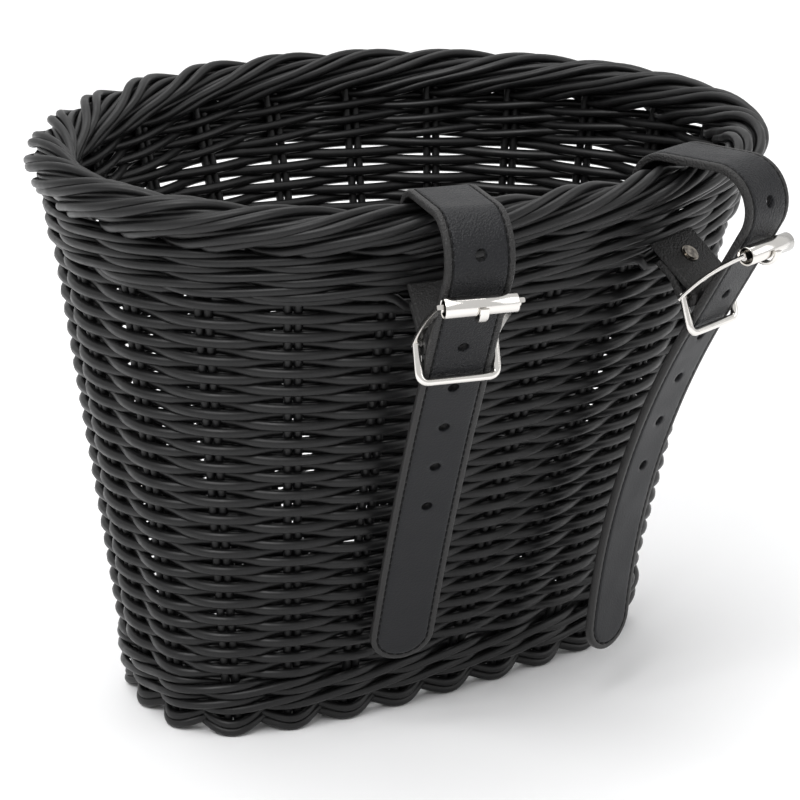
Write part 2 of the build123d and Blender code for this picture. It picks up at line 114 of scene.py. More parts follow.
class NodeGraph:
    """A geometry node tree with named inputs and short calls for its nodes."""

    def __init__(self, name: str) -> None:
        """Start an empty tree.

        Args:
            name: its name.
        """
        self.tree = bpy.data.node_groups.new(name, "GeometryNodeTree")
        self.entry = self.tree.nodes.new("NodeGroupInput")
        self.identifiers: dict[str, str] = {}

    def input(self, name: str, kind: str = "NodeSocketFloat") -> Field:
        """Add a named input.

        Args:
            name: the input's label.
            kind: the socket type.

        Returns:
            The input's value.
        """
        socket = self.tree.interface.new_socket(name, in_out="INPUT", socket_type=kind)
        self.identifiers[name] = socket.identifier
        return Field(self, self.entry.outputs[name])

    def node(self, kind: str, values: dict | None = None, **settings: object) -> bpy.types.Node:
        """Add a node, set it up and connect it.

        Args:
            kind: the node's type.
            values: its inputs by name or number, as fields or plain values.
            settings: its properties.

        Returns:
            The node.
        """
        made = self.tree.nodes.new(kind)
        for key, value in settings.items():
            setattr(made, key, value)
        for key, value in (values or {}).items():
            self.connect(made.inputs[key], value)
        return made

    def connect(self, socket: bpy.types.NodeSocket, value: object) -> None:
        """Give an input a field, another node's output or a plain value.

        Args:
            socket: the input.
            value: the value.
        """
        if isinstance(value, Field):
            value = value.socket
        if isinstance(value, bpy.types.NodeSocket):
            self.tree.links.new(value, socket)
        else:
            socket.default_value = value

    def maths(self, operation: str, *values: "Field | float") -> Field:
        """Add a maths node.

        Args:
            operation: what it does.
            values: its inputs in order.

        Returns:
            Its result.
        """
        made = self.node("ShaderNodeMath", dict(enumerate(values)), operation=operation)
        return Field(self, made.outputs[0])

    def vector(self, operation: str, *values: object, scale: "Field | None" = None) -> Field:
        """Add a vector maths node.

        Args:
            operation: what it does.
            values: its vector inputs in order.
            scale: the factor of a SCALE operation.

        Returns:
            Its vector result.
        """
        made = self.node("ShaderNodeVectorMath", dict(enumerate(values)), operation=operation)
        if scale is not None:
            self.connect(made.inputs["Scale"], scale)
        return Field(self, made.outputs["Vector"])

    def blend_vectors(self, a: Field, b: Field, share: Field) -> Field:
        """The vector a share of the way from a to b, unclamped."""
        step = self.vector("SCALE", self.vector("SUBTRACT", b, a), scale=share)
        return self.vector("ADD", a, step)

    def noise(self, along: Field, index: Field, seed: Field) -> Field:
        """A smooth seeded value between about -0.5 and 0.5 that changes along each strand.

        Args:
            along: the place along the strand.
            index: the strand's number.
            seed: for its irregularities.

        Returns:
            The value.
        """
        where = self.node("ShaderNodeCombineXYZ", {0: along, 1: index * 7.3, 2: seed})
        made = self.node("ShaderNodeTexNoise", {"Vector": where.outputs[0], "Scale": 1.0, "Detail": 1.0})
        return Field(self, made.outputs[0]) - 0.5

    def finish(self, geometry: object, material: Field) -> None:
        """End the tree with smooth shading, real geometry and its material.

        Args:
            geometry: the geometry so far.
            material: the material input.
        """
        smooth = self.node("GeometryNodeSetShadeSmooth", {"Geometry": geometry})
        real = self.node("GeometryNodeRealizeInstances", {"Geometry": smooth.outputs[0]})
        coated = self.node("GeometryNodeSetMaterial", {"Geometry": real.outputs[0], "Material": material})
        self.tree.interface.new_socket("Geometry", in_out="OUTPUT", socket_type="NodeSocketGeometry")
        leave = self.tree.nodes.new("NodeGroupOutput")
        self.tree.links.new(coated.outputs[0], leave.inputs[0])

    def evaluate(self, name: str, values: dict[str, object]) -> bpy.types.Mesh:
        """Run the tree once and keep what it makes.

        Args:
            name: the mesh's name.
            values: each input's value by label.

        Returns:
            A plain mesh with no modifier.
        """
        holder = bpy.data.objects.new(name, bpy.data.meshes.new(name))
        bpy.context.scene.collection.objects.link(holder)
        modifier = holder.modifiers.new("make", "NODES")
        modifier.node_group = self.tree
        for label, value in values.items():
            modifier[self.identifiers[label]] = value
        holder.update_tag()
        bpy.context.view_layer.update()
        graph = bpy.context.evaluated_depsgraph_get()
        made = bpy.data.meshes.new_from_object(
            holder.evaluated_get(graph), preserve_all_data_layers=True, depsgraph=graph
        )
        made.name = name
        bpy.data.objects.remove(holder)
        return made


def add_object(name: str, mesh: bpy.types.Mesh) -> bpy.types.Object:
    """Put a mesh in the scene at the origin.

    Args:
        name: its name.
        mesh: its mesh.

    Returns:
        The object.
    """
    made = bpy.data.objects.new(name, mesh)
    bpy.context.scene.collection.objects.link(made)
    return made


def merge_meshes(name: str, meshes: list[bpy.types.Mesh]) -> bpy.types.Object:
    """Join several meshes with one material into one object.

    Args:
        name: its name.
        meshes: the meshes to join.

    Returns:
        The joined object.
    """
    parts = [add_object(name, mesh) for mesh in meshes]
    with bpy.context.temp_override(
        active_object=parts[0], selected_editable_objects=parts, selected_objects=parts
    ):
        bpy.ops.object.join()
    return parts[0]


# ---------------------------------------------------------------- finishes


@dataclass(frozen=True)
class Surface:
    """The uniform values of a principled surface."""

    colour: tuple[float, float, float]
    roughness: float
    metallic: float = 0.0
    specular: float = 0.5
    coat: float = 0.0
    coat_roughness: float = 0.2
    sheen: float = 0.0


class Finish:
    """A procedural material built round one principled shader."""

    def __init__(self, name: str, surface: Surface) -> None:
        """Set up the shader's uniform values.

        Args:
            name: the material's name.
            surface: its uniform values.
        """
        self.material = bpy.data.materials.new(name)
        self.material.use_nodes = True
        self.nodes = self.material.node_tree.nodes
        self.links = self.material.node_tree.links
        self.shader = self.nodes["Principled BSDF"]
        values = {
            "Base Color": (*surface.colour, 1.0),
            "Roughness": surface.roughness,
            "Metallic": surface.metallic,
            "Specular IOR Level": surface.specular,
            "Coat Weight": surface.coat,
            "Coat Roughness": surface.coat_roughness,
            "Sheen Weight": surface.sheen,
        }
        for key, value in values.items():
            self.shader.inputs[key].default_value = value
        self.surface = surface
        self.place = self.nodes.new("ShaderNodeTexCoord").outputs["Object"]
        self.height: bpy.types.NodeSocket | None = None

    def stretched(self, scale: tuple[float, float, float]) -> bpy.types.NodeSocket:
        """The object's coordinates stretched along its axes.

        Args:
            scale: the factor along each axis.

        Returns:
            The coordinates.
        """
        mapping = self.nodes.new("ShaderNodeMapping")
        mapping.inputs["Scale"].default_value = scale
        self.links.new(self.place, mapping.inputs["Vector"])
        return mapping.outputs[0]

    def noise(self, scale: float, detail: float = 2.0, place: bpy.types.NodeSocket | None = None,
              roughness: float = 0.5) -> bpy.types.NodeSocket:
        """A noise value on the object's coordinates.

        Args:
            scale: how fine the pattern is.
            detail: its layers of detail.
            place: the coordinates, or the object's own.
            roughness: how strong the fine layers are.

        Returns:
            The value.
        """
        made = self.nodes.new("ShaderNodeTexNoise")
        made.inputs["Scale"].default_value = scale
        made.inputs["Detail"].default_value = detail
        made.inputs["Roughness"].default_value = roughness
        self.links.new(place or self.place, made.inputs["Vector"])
        return made.outputs[0]

    def cells(self, scale: float, feature: str = "F1") -> bpy.types.NodeSocket:
        """The distance value of a cell pattern on the object's coordinates.

        Args:
            scale: how fine the pattern is.
            feature: which cell distance.

        Returns:
            The distance.
        """
        made = self.nodes.new("ShaderNodeTexVoronoi")
        made.feature = feature
        made.inputs["Scale"].default_value = scale
        self.links.new(self.place, made.inputs["Vector"])
        return made.outputs["Distance"]

    def attribute(self, name: str) -> bpy.types.NodeSocket:
        """A value stored on the mesh.

        Args:
            name: its name.

        Returns:
            The value.
        """
        made = self.nodes.new("ShaderNodeAttribute")
        made.attribute_name = name
        return made.outputs["Fac"]

    def ranged(self, value: bpy.types.NodeSocket, low: float, high: float,
               start: float = 0.3, end: float = 0.7) -> bpy.types.NodeSocket:
        """A value moved from one range to another.

        Args:
            value: the value.
            low: the lowest result.
            high: the highest result.
            start: where the change starts.
            end: where the change ends.

        Returns:
            The moved value.
        """
        made = self.nodes.new("ShaderNodeMapRange")
        for key, number in (("From Min", start), ("From Max", end), ("To Min", low), ("To Max", high)):
            made.inputs[key].default_value = number
        self.links.new(value, made.inputs["Value"])
        return made.outputs[0]

    def maths(self, operation: str, a: object, b: object) -> bpy.types.NodeSocket:
        """One maths operation on two values.

        Args:
            operation: what the node does.
            a: the first value.
            b: the second value.

        Returns:
            The result.
        """
        made = self.nodes.new("ShaderNodeMath")
        made.operation = operation
        for socket, value in zip(made.inputs, (a, b)):
            if isinstance(value, bpy.types.NodeSocket):
                self.links.new(value, socket)
            else:
                socket.default_value = value
        return made.outputs[0]

    def vary_roughness(self, value: bpy.types.NodeSocket, spread: float) -> None:
        """Let the roughness follow a value."""
        middle = self.surface.roughness
        self.links.new(self.ranged(value, middle - spread, middle + spread), self.shader.inputs["Roughness"])

    def vary_colour(self, value: bpy.types.NodeSocket, other: tuple[float, float, float],
                    start: float = 0.35, end: float = 0.65) -> None:
        """Let the colour move towards another one with a value.

        Args:
            value: what it follows.
            other: the colour to move towards.
            start: where the change starts.
            end: where the change ends.
        """
        ramp = self.nodes.new("ShaderNodeValToRGB")
        ramp.color_ramp.elements[0].position = start
        ramp.color_ramp.elements[0].color = (*self.surface.colour, 1.0)
        ramp.color_ramp.elements[1].position = end
        ramp.color_ramp.elements[1].color = (*other, 1.0)
        self.links.new(value, ramp.inputs[0])
        self.links.new(ramp.outputs[0], self.shader.inputs["Base Color"])

    def bump(self, value: bpy.types.NodeSocket, distance: float, strength: float = 1.0) -> None:
        """Add a small relief on top of any earlier one.

        Args:
            value: what it follows.
            distance: the relief's height.
            strength: how strong it is.
        """
        made = self.nodes.new("ShaderNodeBump")
        made.inputs["Distance"].default_value = distance
        made.inputs["Strength"].default_value = strength
        self.links.new(value, made.inputs["Height"])
        if self.height is not None:
            self.links.new(self.height, made.inputs["Normal"])
        self.height = made.outputs[0]
        self.links.new(self.height, self.shader.inputs["Normal"])


def wicker_finish() -> bpy.types.Material:
    """Extruded black plastic cane: satin, with fine drawn lines and a little dust."""
    finish = Finish("black_cane", Surface(colour=(0.0042, 0.0042, 0.0046), roughness=0.4, specular=0.32))
    mottle = finish.noise(160.0, detail=3.0)
    finish.vary_roughness(mottle, 0.07)
    dust = finish.noise(2400.0, detail=2.0, roughness=0.7)
    finish.vary_colour(dust, (0.011, 0.0107, 0.0102), start=0.5, end=0.75)
    finish.bump(finish.attribute("drawn"), 0.00006, 0.6)
    finish.bump(dust, 0.00004, 0.5)
    return finish.material


def leather_finish() -> bpy.types.Material:
    """Black coated leather: pebbled on the loop, almost smooth on the tail."""
    finish = Finish("black_leather", Surface(colour=(0.0042, 0.0046, 0.0062), roughness=0.42, specular=0.27))
    tone = finish.noise(90.0, detail=3.0)
    finish.vary_roughness(tone, 0.05)
    pebble = finish.cells(1500.0)
    fine = finish.noise(3200.0, detail=2.0)
    grain = finish.maths("ADD", pebble, finish.maths("MULTIPLY", fine, 0.6))
    scaled = finish.maths("MULTIPLY", grain, finish.attribute("grain"))
    finish.bump(scaled, 0.0003, 1.0)
    finish.vary_colour(finish.attribute("edge"), (0.02, 0.0195, 0.0195), start=0.1, end=0.9)
    return finish.material


def thread_finish() -> bpy.types.Material:
    """Waxed black sewing thread with its twist."""
    finish = Finish("black_thread", Surface(colour=(0.0022, 0.0022, 0.0024), roughness=0.7, specular=0.2))
    twist = finish.noise(5200.0, detail=1.0)
    finish.vary_roughness(twist, 0.08)
    finish.bump(twist, 0.00008, 0.7)
    return finish.material


def nickel_finish() -> bpy.types.Material:
    """Polished nickel with fine buffing marks and faint handling haze."""
    finish = Finish("polished_nickel", Surface(colour=(0.74, 0.72, 0.69), roughness=0.13, metallic=1.0))
    haze = finish.noise(220.0, detail=4.0)
    finish.vary_roughness(haze, 0.05)
    buffing = finish.noise(900.0, detail=3.0, place=finish.stretched((1.0, 6.0, 6.0)))
    finish.bump(buffing, 0.000012, 0.5)
    return finish.material


def brass_finish() -> bpy.types.Material:
    """Darkened rivet metal with dull, darker patches of tarnish."""
    finish = Finish("dark_rivet", Surface(colour=(0.34, 0.31, 0.27), roughness=0.27, metallic=1.0))
    tarnish = finish.noise(700.0, detail=3.0)
    finish.vary_roughness(tarnish, 0.1)
    finish.vary_colour(tarnish, (0.12, 0.11, 0.1))
    finish.bump(tarnish, 0.00003, 0.4)
    return finish.material


# ---------------------------------------------------------------- the wall


@dataclass(frozen=True)
class Outline:
    """A closed rounded outline: half its width, its two depths, and how square each side is."""

    half_width: float
    front: float
    back: float
    front_power: float
    back_power: float

    def points(self, count: int) -> list[tuple[float, float]]:
        """Points at equal steps along the outline.

        Args:
            count: how many.

        Returns:
            Places from the middle of the back, going towards +X.
        """
        steps = 1440
        fine = [self.at(2 * pi * i / steps - pi / 2) for i in range(steps + 1)]
        lengths = [0.0]
        for a, b in zip(fine, fine[1:]):
            lengths.append(lengths[-1] + hypot(b[0] - a[0], b[1] - a[1]))
        points = []
        j = 0
        for i in range(count):
            target = lengths[-1] * i / count
            while lengths[j + 1] < target:
                j += 1
            share = (target - lengths[j]) / (lengths[j + 1] - lengths[j])
            points.append(
                (fine[j][0] + share * (fine[j + 1][0] - fine[j][0]),
                 fine[j][1] + share * (fine[j + 1][1] - fine[j][1]))
            )
        return points

    def at(self, angle: float) -> tuple[float, float]:
        """The outline's place in one direction.

        Args:
            angle: the direction in radians.

        Returns:
            The place.
        """
        c, s = cos(angle), sin(angle)
        power, depth = (self.front_power, self.front) if s > 0 else (self.back_power, self.back)
        x = self.half_width * (1 if c > 0 else -1) * abs(c) ** (2 / power)
        return x, depth * (1 if s > 0 else -1) * abs(s) ** (2 / power)


class Wall:
    """The basket's wall between its base and rim outlines."""

    STAKE_PAIRS = 23
    BASE_LEVEL = 4 * MM
    RIM_FRONT = 106 * MM
    RIM_BACK = 97 * MM
    GUIDE_POINTS = 368

    def __init__(self) -> None:
        """Take the wall's outlines from the frame."""
        low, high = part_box("rim_border")
        self.rim_radius = (high.z - low.z) / 2
        self.rim_level = (high.z + low.z) / 2
        self.shift = high.y - self.rim_radius - self.RIM_FRONT
        half = (high.x - low.x) / 2 - self.rim_radius
        self.rim = Outline(half, self.RIM_FRONT, self.RIM_BACK, 1.85, 2.2)
        self.base = Outline(88 * MM, 52 * MM, 30 * MM, 3.6, 2.8)
        self.rim_points = self.rim.points(self.GUIDE_POINTS)
        self.base_points = self.base.points(self.GUIDE_POINTS)
        self.rim_guide = self.guide("rim_guide", self.rim_points, self.rim_level)
        self.base_guide = self.guide("base_guide", self.base_points, self.BASE_LEVEL)

    def guide(self, name: str, points: list[tuple[float, float]], level: float) -> bpy.types.Object:
        """An outline as a closed curve that the rods follow.

        Args:
            name: the curve's name.
            points: its places.
            level: its height.

        Returns:
            The curve's object.
        """
        curve = bpy.data.curves.new(name, "CURVE")
        curve.dimensions = "3D"
        spline = curve.splines.new("POLY")
        spline.points.add(len(points) - 1)
        for place, (x, y) in zip(spline.points, points):
            place.co = (x, y + self.shift, level, 1.0)
        spline.use_cyclic_u = True
        made = bpy.data.objects.new(name, curve)
        bpy.context.scene.collection.objects.link(made)
        return made

    def place(self, position: float, level: float) -> tuple[Vector, Vector]:
        """A place on the wall and its outward direction.

        Args:
            position: the place round the wall, counted in stake pairs.
            level: the height.

        Returns:
            The point and the level outward direction.
        """
        share = (level - self.BASE_LEVEL) / (self.rim_level - self.BASE_LEVEL)
        count = self.GUIDE_POINTS
        i = round(position / self.STAKE_PAIRS * count)

        def point(index: int) -> Vector:
            """The place at one guide point.

            Args:
                index: the guide point's number.

            Returns:
                The place.
            """
            b = Vector(self.base_points[index % count])
            r = Vector(self.rim_points[index % count])
            return b.lerp(r, share)

        here = point(i)
        along = (point(i + 3) - point(i - 3)).normalized()
        return Vector((here.x, here.y + self.shift, level)), Vector((along.y, -along.x, 0.0))

    def remove_guides(self) -> None:
        """Take the guide curves away when the rods are made."""
        for guide in (self.rim_guide, self.base_guide):
            bpy.data.objects.remove(guide)


# ---------------------------------------------------------------- woven rods


@dataclass(frozen=True)
class RodRun:
    """One set of rods that runs round the wall.

    Lengths are in metres, and places round the wall are in stake pairs.
    """

    level: float
    laps: float
    start: float = 11.5
    strands: int = 1
    strand_phase: float = 0.0
    strand_lift: float = 0.0
    closed: bool = False
    period: float = 2.0
    rise: float = 0.0
    radius: float = 1.5 * MM
    sides: int = 8
    points_per_pair: int = 8
    swing: float = 2.8 * MM
    bias: float = 0.0
    first: float = 1.0
    second: float = 0.0
    flatness: float = 0.3
    skew: float = 0.0
    heave: float = 0.0
    dip: float = 0.0
    wobble: float = 0.12 * MM
    parted: bool = False
    seed: float = 1.0

    def values(self, wall: Wall, finish: bpy.types.Material) -> dict[str, object]:
        """The node tree's inputs for this set.

        Args:
            wall: the basket's wall.
            finish: the material it gets.

        Returns:
            Each value by its label.
        """
        pairs = Wall.STAKE_PAIRS
        count = int(round(self.laps * pairs * self.points_per_pair))
        return {
            "Base outline": wall.base_guide,
            "Rim outline": wall.rim_guide,
            "Base level": Wall.BASE_LEVEL,
            "Rim level": wall.rim_level,
            "Start": self.start,
            "Run": self.laps * pairs,
            "Points": count + (0 if self.closed else 1),
            "Steps": float(count),
            "Strands": self.strands,
            "Strand phase": self.strand_phase,
            "Strand lift": self.strand_lift,
            "Closed": self.closed,
            "Period": self.period,
            "Level": self.level,
            "Rise": self.rise,
            "Radius": self.radius,
            "Sides": self.sides,
            "Swing": self.swing,
            "Bias": self.bias,
            "First": self.first,
            "Second": self.second,
            "Flatness": self.flatness,
            "Skew": self.skew,
            "Heave": self.heave,
            "Dip": self.dip,
            "Wobble": self.wobble,
            "Parted": 1.0 if self.parted else 0.0,
            "Seed": self.seed,
            "Material": finish,
        }


@dataclass(frozen=True)
class StrapSlot:
    """Where a strap goes through the weave, measured from the rim's centre line."""

    position: float = 1.5
    drop: float = 19.6 * MM
    slope: float = 0.781
    clearance: float = 3.0 * MM
    inner: float = 0.36
    outer: float = 0.5


class RodTree:
    """The node tree that lays rods round the wall, in and out between its stakes."""

    SLOT = StrapSlot()
    OUTLINES = ("Base outline", "Rim outline")
    WHOLE_NUMBERS = ("Points", "Strands", "Sides")
    NUMBERS = (
        "Base level", "Rim level", "Start", "Run", "Steps", "Strand phase", "Strand lift", "Period", "Level",
        "Rise", "Radius", "Swing", "Bias", "First", "Second", "Flatness", "Skew", "Heave", "Dip", "Wobble",
        "Parted", "Seed",
    )

    def __init__(self, name: str) -> None:
        """Build the tree.

        Args:
            name: its name.
        """
        graph = self.graph = NodeGraph(name)
        kinds = {
            **{label: "NodeSocketObject" for label in self.OUTLINES},
            **{label: "NodeSocketFloat" for label in self.NUMBERS},
            **{label: "NodeSocketInt" for label in self.WHOLE_NUMBERS},
            "Closed": "NodeSocketBool",
            "Material": "NodeSocketMaterial",
        }
        self.value = {label: graph.input(label, kind) for label, kind in kinds.items()}
        value = self.value

        line = graph.node("GeometryNodeCurvePrimitiveLine")
        divided = graph.node(
            "GeometryNodeResampleCurve", {"Curve": line.outputs[0], "Count": value["Points"]}, mode="COUNT"
        )
        copied = graph.node(
            "GeometryNodeDuplicateElements",
            {"Geometry": divided.outputs[0], "Amount": value["Strands"]},
            domain="SPLINE",
        )
        index = Field(graph, copied.outputs["Duplicate Index"])
        step = Field(graph, graph.node("GeometryNodeSplineParameter").outputs["Index"])
        along = value["Start"] + step * value["Run"] / value["Steps"]
        offset, height = self.wave(along, index)
        offset = offset + graph.noise(along * 0.9, index, value["Seed"]) * value["Wobble"] * 2.0
        height = height + graph.noise(along * 0.7, index, value["Seed"] + 31.7) * value["Wobble"] * 2.0
        height = self.part_for_straps(along, offset, height)
        where = self.on_wall(along, offset, height)
        moved = graph.node("GeometryNodeSetPosition", {"Geometry": copied.outputs[0], "Position": where})
        ringed = graph.node(
            "GeometryNodeSetSplineCyclic", {"Geometry": moved.outputs[0], "Cyclic": value["Closed"]}
        )
        self.tube(ringed.outputs[0])

    def wave(self, along: Field, index: Field) -> tuple[Field, Field]:
        """How a rod swings in and out, and up and down.

        Args:
            along: the place round the wall in stake pairs.
            index: the strand's number.

        Returns:
            The offset outwards and the height.
        """
        value = self.value
        turn = (along - index * value["Strand phase"]) * (2 * pi) / value["Period"]
        skewed = turn + turn.call("SINE") * value["Skew"]
        shape = value["Bias"] + value["First"] * skewed.call("COSINE")
        shape = shape + value["Second"] * (skewed * 2.0).call("COSINE")
        flat = (shape * value["Flatness"]).call("TANH") / value["Flatness"].call("TANH")
        climb = (along - value["Start"]) / float(Wall.STAKE_PAIRS) * value["Rise"]
        height = value["Level"] + climb + index * value["Strand lift"]
        height = height + value["Heave"] * turn.call("SINE") + value["Dip"] * skewed.call("COSINE")
        return flat * value["Swing"], height

    def part_for_straps(self, along: Field, offset: Field, height: Field) -> Field:
        """Lift or lower the rods where a strap goes through between two stakes.

        Args:
            along: the place round the wall in stake pairs.
            offset: how far outwards.
            height: the height.

        Returns:
            The new height.
        """
        graph, slot = self.graph, self.SLOT
        value = self.value
        half = Wall.STAKE_PAIRS / 2
        lap = along.call("FLOORED_MODULO", float(Wall.STAKE_PAIRS))
        away = ((lap - half).call("ABSOLUTE") - (half - slot.position)).call("ABSOLUTE")
        near = graph.node(
            "ShaderNodeMapRange",
            {"Value": away, "From Min": slot.inner, "From Max": slot.outer, "To Min": 1.0, "To Max": 0.0},
            interpolation_type="SMOOTHSTEP",
        )
        share = Field(graph, near.outputs[0]) * value["Parted"]
        middle = value["Rim level"] - slot.drop
        strap = middle - offset * slot.slope
        side = (height - middle).call("SIGN")
        gap = side * (height - strap)
        wide = gap.call("SMOOTH_MAX", slot.clearance, 2.4 * MM)
        return height + side * (wide - gap) * share

    def on_wall(self, along: Field, offset: Field, height: Field) -> Field:
        """The point on the wall at a place, an offset outwards and a height.

        Args:
            along: the place round the wall in stake pairs.
            offset: how far outwards.
            height: the height.

        Returns:
            The point.
        """
        graph, value = self.graph, self.value
        factor = (along / float(Wall.STAKE_PAIRS)).call("FRACT")
        places, headings = [], []
        for label in self.OUTLINES:
            shape = graph.node("GeometryNodeObjectInfo", {"Object": value[label]})
            sample = graph.node(
                "GeometryNodeSampleCurve",
                {"Curves": shape.outputs["Geometry"], "Factor": factor},
                mode="FACTOR",
                use_all_curves=True,
            )
            places.append(Field(graph, sample.outputs["Position"]))
            headings.append(Field(graph, sample.outputs["Tangent"]))
        share = (height - value["Base level"]) / (value["Rim level"] - value["Base level"])
        place = graph.blend_vectors(*places, share)
        heading = graph.blend_vectors(*headings, share)
        outward = graph.vector("NORMALIZE", graph.vector("CROSS_PRODUCT", heading, (0.0, 0.0, 1.0)))
        return graph.vector("ADD", place, graph.vector("SCALE", outward, scale=offset))

    def tube(self, curve: bpy.types.NodeSocket) -> None:
        """Give the rods their round section, drawn lines and material.

        Args:
            curve: the rods' centre lines.
        """
        graph, value = self.graph, self.value
        ring = graph.node(
            "GeometryNodeCurvePrimitiveCircle", {"Resolution": value["Sides"], "Radius": value["Radius"]}
        )
        around = Field(graph, graph.node("GeometryNodeSplineParameter").outputs["Index"])
        lines = graph.noise(around * 3.1, around, value["Seed"])
        marked = graph.node(
            "GeometryNodeStoreNamedAttribute",
            {"Geometry": ring.outputs[0], "Name": "drawn", "Value": lines},
            data_type="FLOAT",
            domain="POINT",
        )
        skin = graph.node(
            "GeometryNodeCurveToMesh",
            {"Curve": curve, "Profile Curve": marked.outputs[0], "Fill Caps": True},
        )
        graph.finish(skin.outputs[0], value["Material"])

    def make(self, name: str, run: RodRun, wall: Wall, finish: bpy.types.Material) -> bpy.types.Mesh:
        """Lay one set of rods."""
        return self.graph.evaluate(name, run.values(wall, finish))


class RolledTree(RodTree):
    """The same tree for rods that roll round the rim's centre line like a rope."""

    def wave(self, along: Field, index: Field) -> tuple[Field, Field]:
        """Round the rim: slow along its faces, quick over the top.

        Args:
            along: the place round the wall in stake pairs.
            index: the strand's number.

        Returns:
            The offset outwards and the height.
        """
        value = self.value
        turn = along * (2 * pi) / value["Period"] + index * value["Strand phase"] + value["Bias"]
        rolled = turn - (turn * 2.0).call("SINE") * value["Skew"]
        swell = value["Swing"] + value["Second"] * (turn * 3.0 + index).call("SINE")
        offset = rolled.call("COSINE") * swell
        return offset, value["Level"] + rolled.call("SINE") * swell * value["First"]


class PanelTree:
    """The node tree that weaves straight rods over and under the floor's stick pairs."""

    STEP = 2.4 * MM

    def __init__(self, name: str) -> None:
        """Build the tree.

        Args:
            name: its name.
        """
        graph = self.graph = NodeGraph(name)
        rows = graph.input("Rows", "NodeSocketObject")
        names = ("Stick pitch", "Row pitch", "Row origin", "Level", "Swing", "Radius", "Seed")
        value = {label: graph.input(label) for label in names}
        material = graph.input("Material", "NodeSocketMaterial")
        shape = graph.node("GeometryNodeObjectInfo", {"Object": rows})
        divided = graph.node(
            "GeometryNodeResampleCurve",
            {"Curve": shape.outputs["Geometry"], "Length": self.STEP},
            mode="LENGTH",
        )
        position = graph.node("GeometryNodeInputPosition")
        split = graph.node("ShaderNodeSeparateXYZ", {0: position.outputs[0]})
        x, y = (Field(graph, split.outputs[i]) for i in (0, 1))
        row = ((y - value["Row origin"]) / value["Row pitch"]).call("ROUND")
        turn = (x / value["Stick pitch"] + row) * pi
        lift = (turn.call("COSINE") * 1.6).call("TANH") * value["Swing"]
        lift = lift + graph.noise(x * 60.0, row, value["Seed"]) * (0.4 * MM)
        raised = graph.node("ShaderNodeCombineXYZ", {0: x, 1: y, 2: value["Level"] + lift})
        moved = graph.node(
            "GeometryNodeSetPosition", {"Geometry": divided.outputs[0], "Position": raised.outputs[0]}
        )
        ring = graph.node("GeometryNodeCurvePrimitiveCircle", {"Resolution": 8, "Radius": value["Radius"]})
        skin = graph.node(
            "GeometryNodeCurveToMesh",
            {"Curve": moved.outputs[0], "Profile Curve": ring.outputs[0], "Fill Caps": True},
        )
        graph.finish(skin.outputs[0], material)


@dataclass(frozen=True)
class WeaveSize:
    """The woven body's sizes."""

    side_rows: int = 45
    side_rod: float = 1.78 * MM
    side_swing: float = 2.15 * MM
    wale_swing: float = 3.1 * MM
    lower_wale: tuple[float, float] = (8.6 * MM, 20.2 * MM)
    upper_wale_low: float = 159.4 * MM
    upper_wale_top: float = 0.6 * MM
    foot_swing: float = 3.3 * MM
    foot_rise: float = 2.6 * MM
    foot_inward: float = 0.7 * MM
    rim_rod: float = 1.5 * MM
    rim_outer_rod: float = 1.55 * MM
    core_reach: float = 0.6
    floor_row: float = 3.1 * MM
    floor_stick_pitch: float = 30 * MM
    floor_inset: float = 6.5 * MM
    floor_rod: float = 1.45 * MM
    floor_swing: float = 2.5 * MM


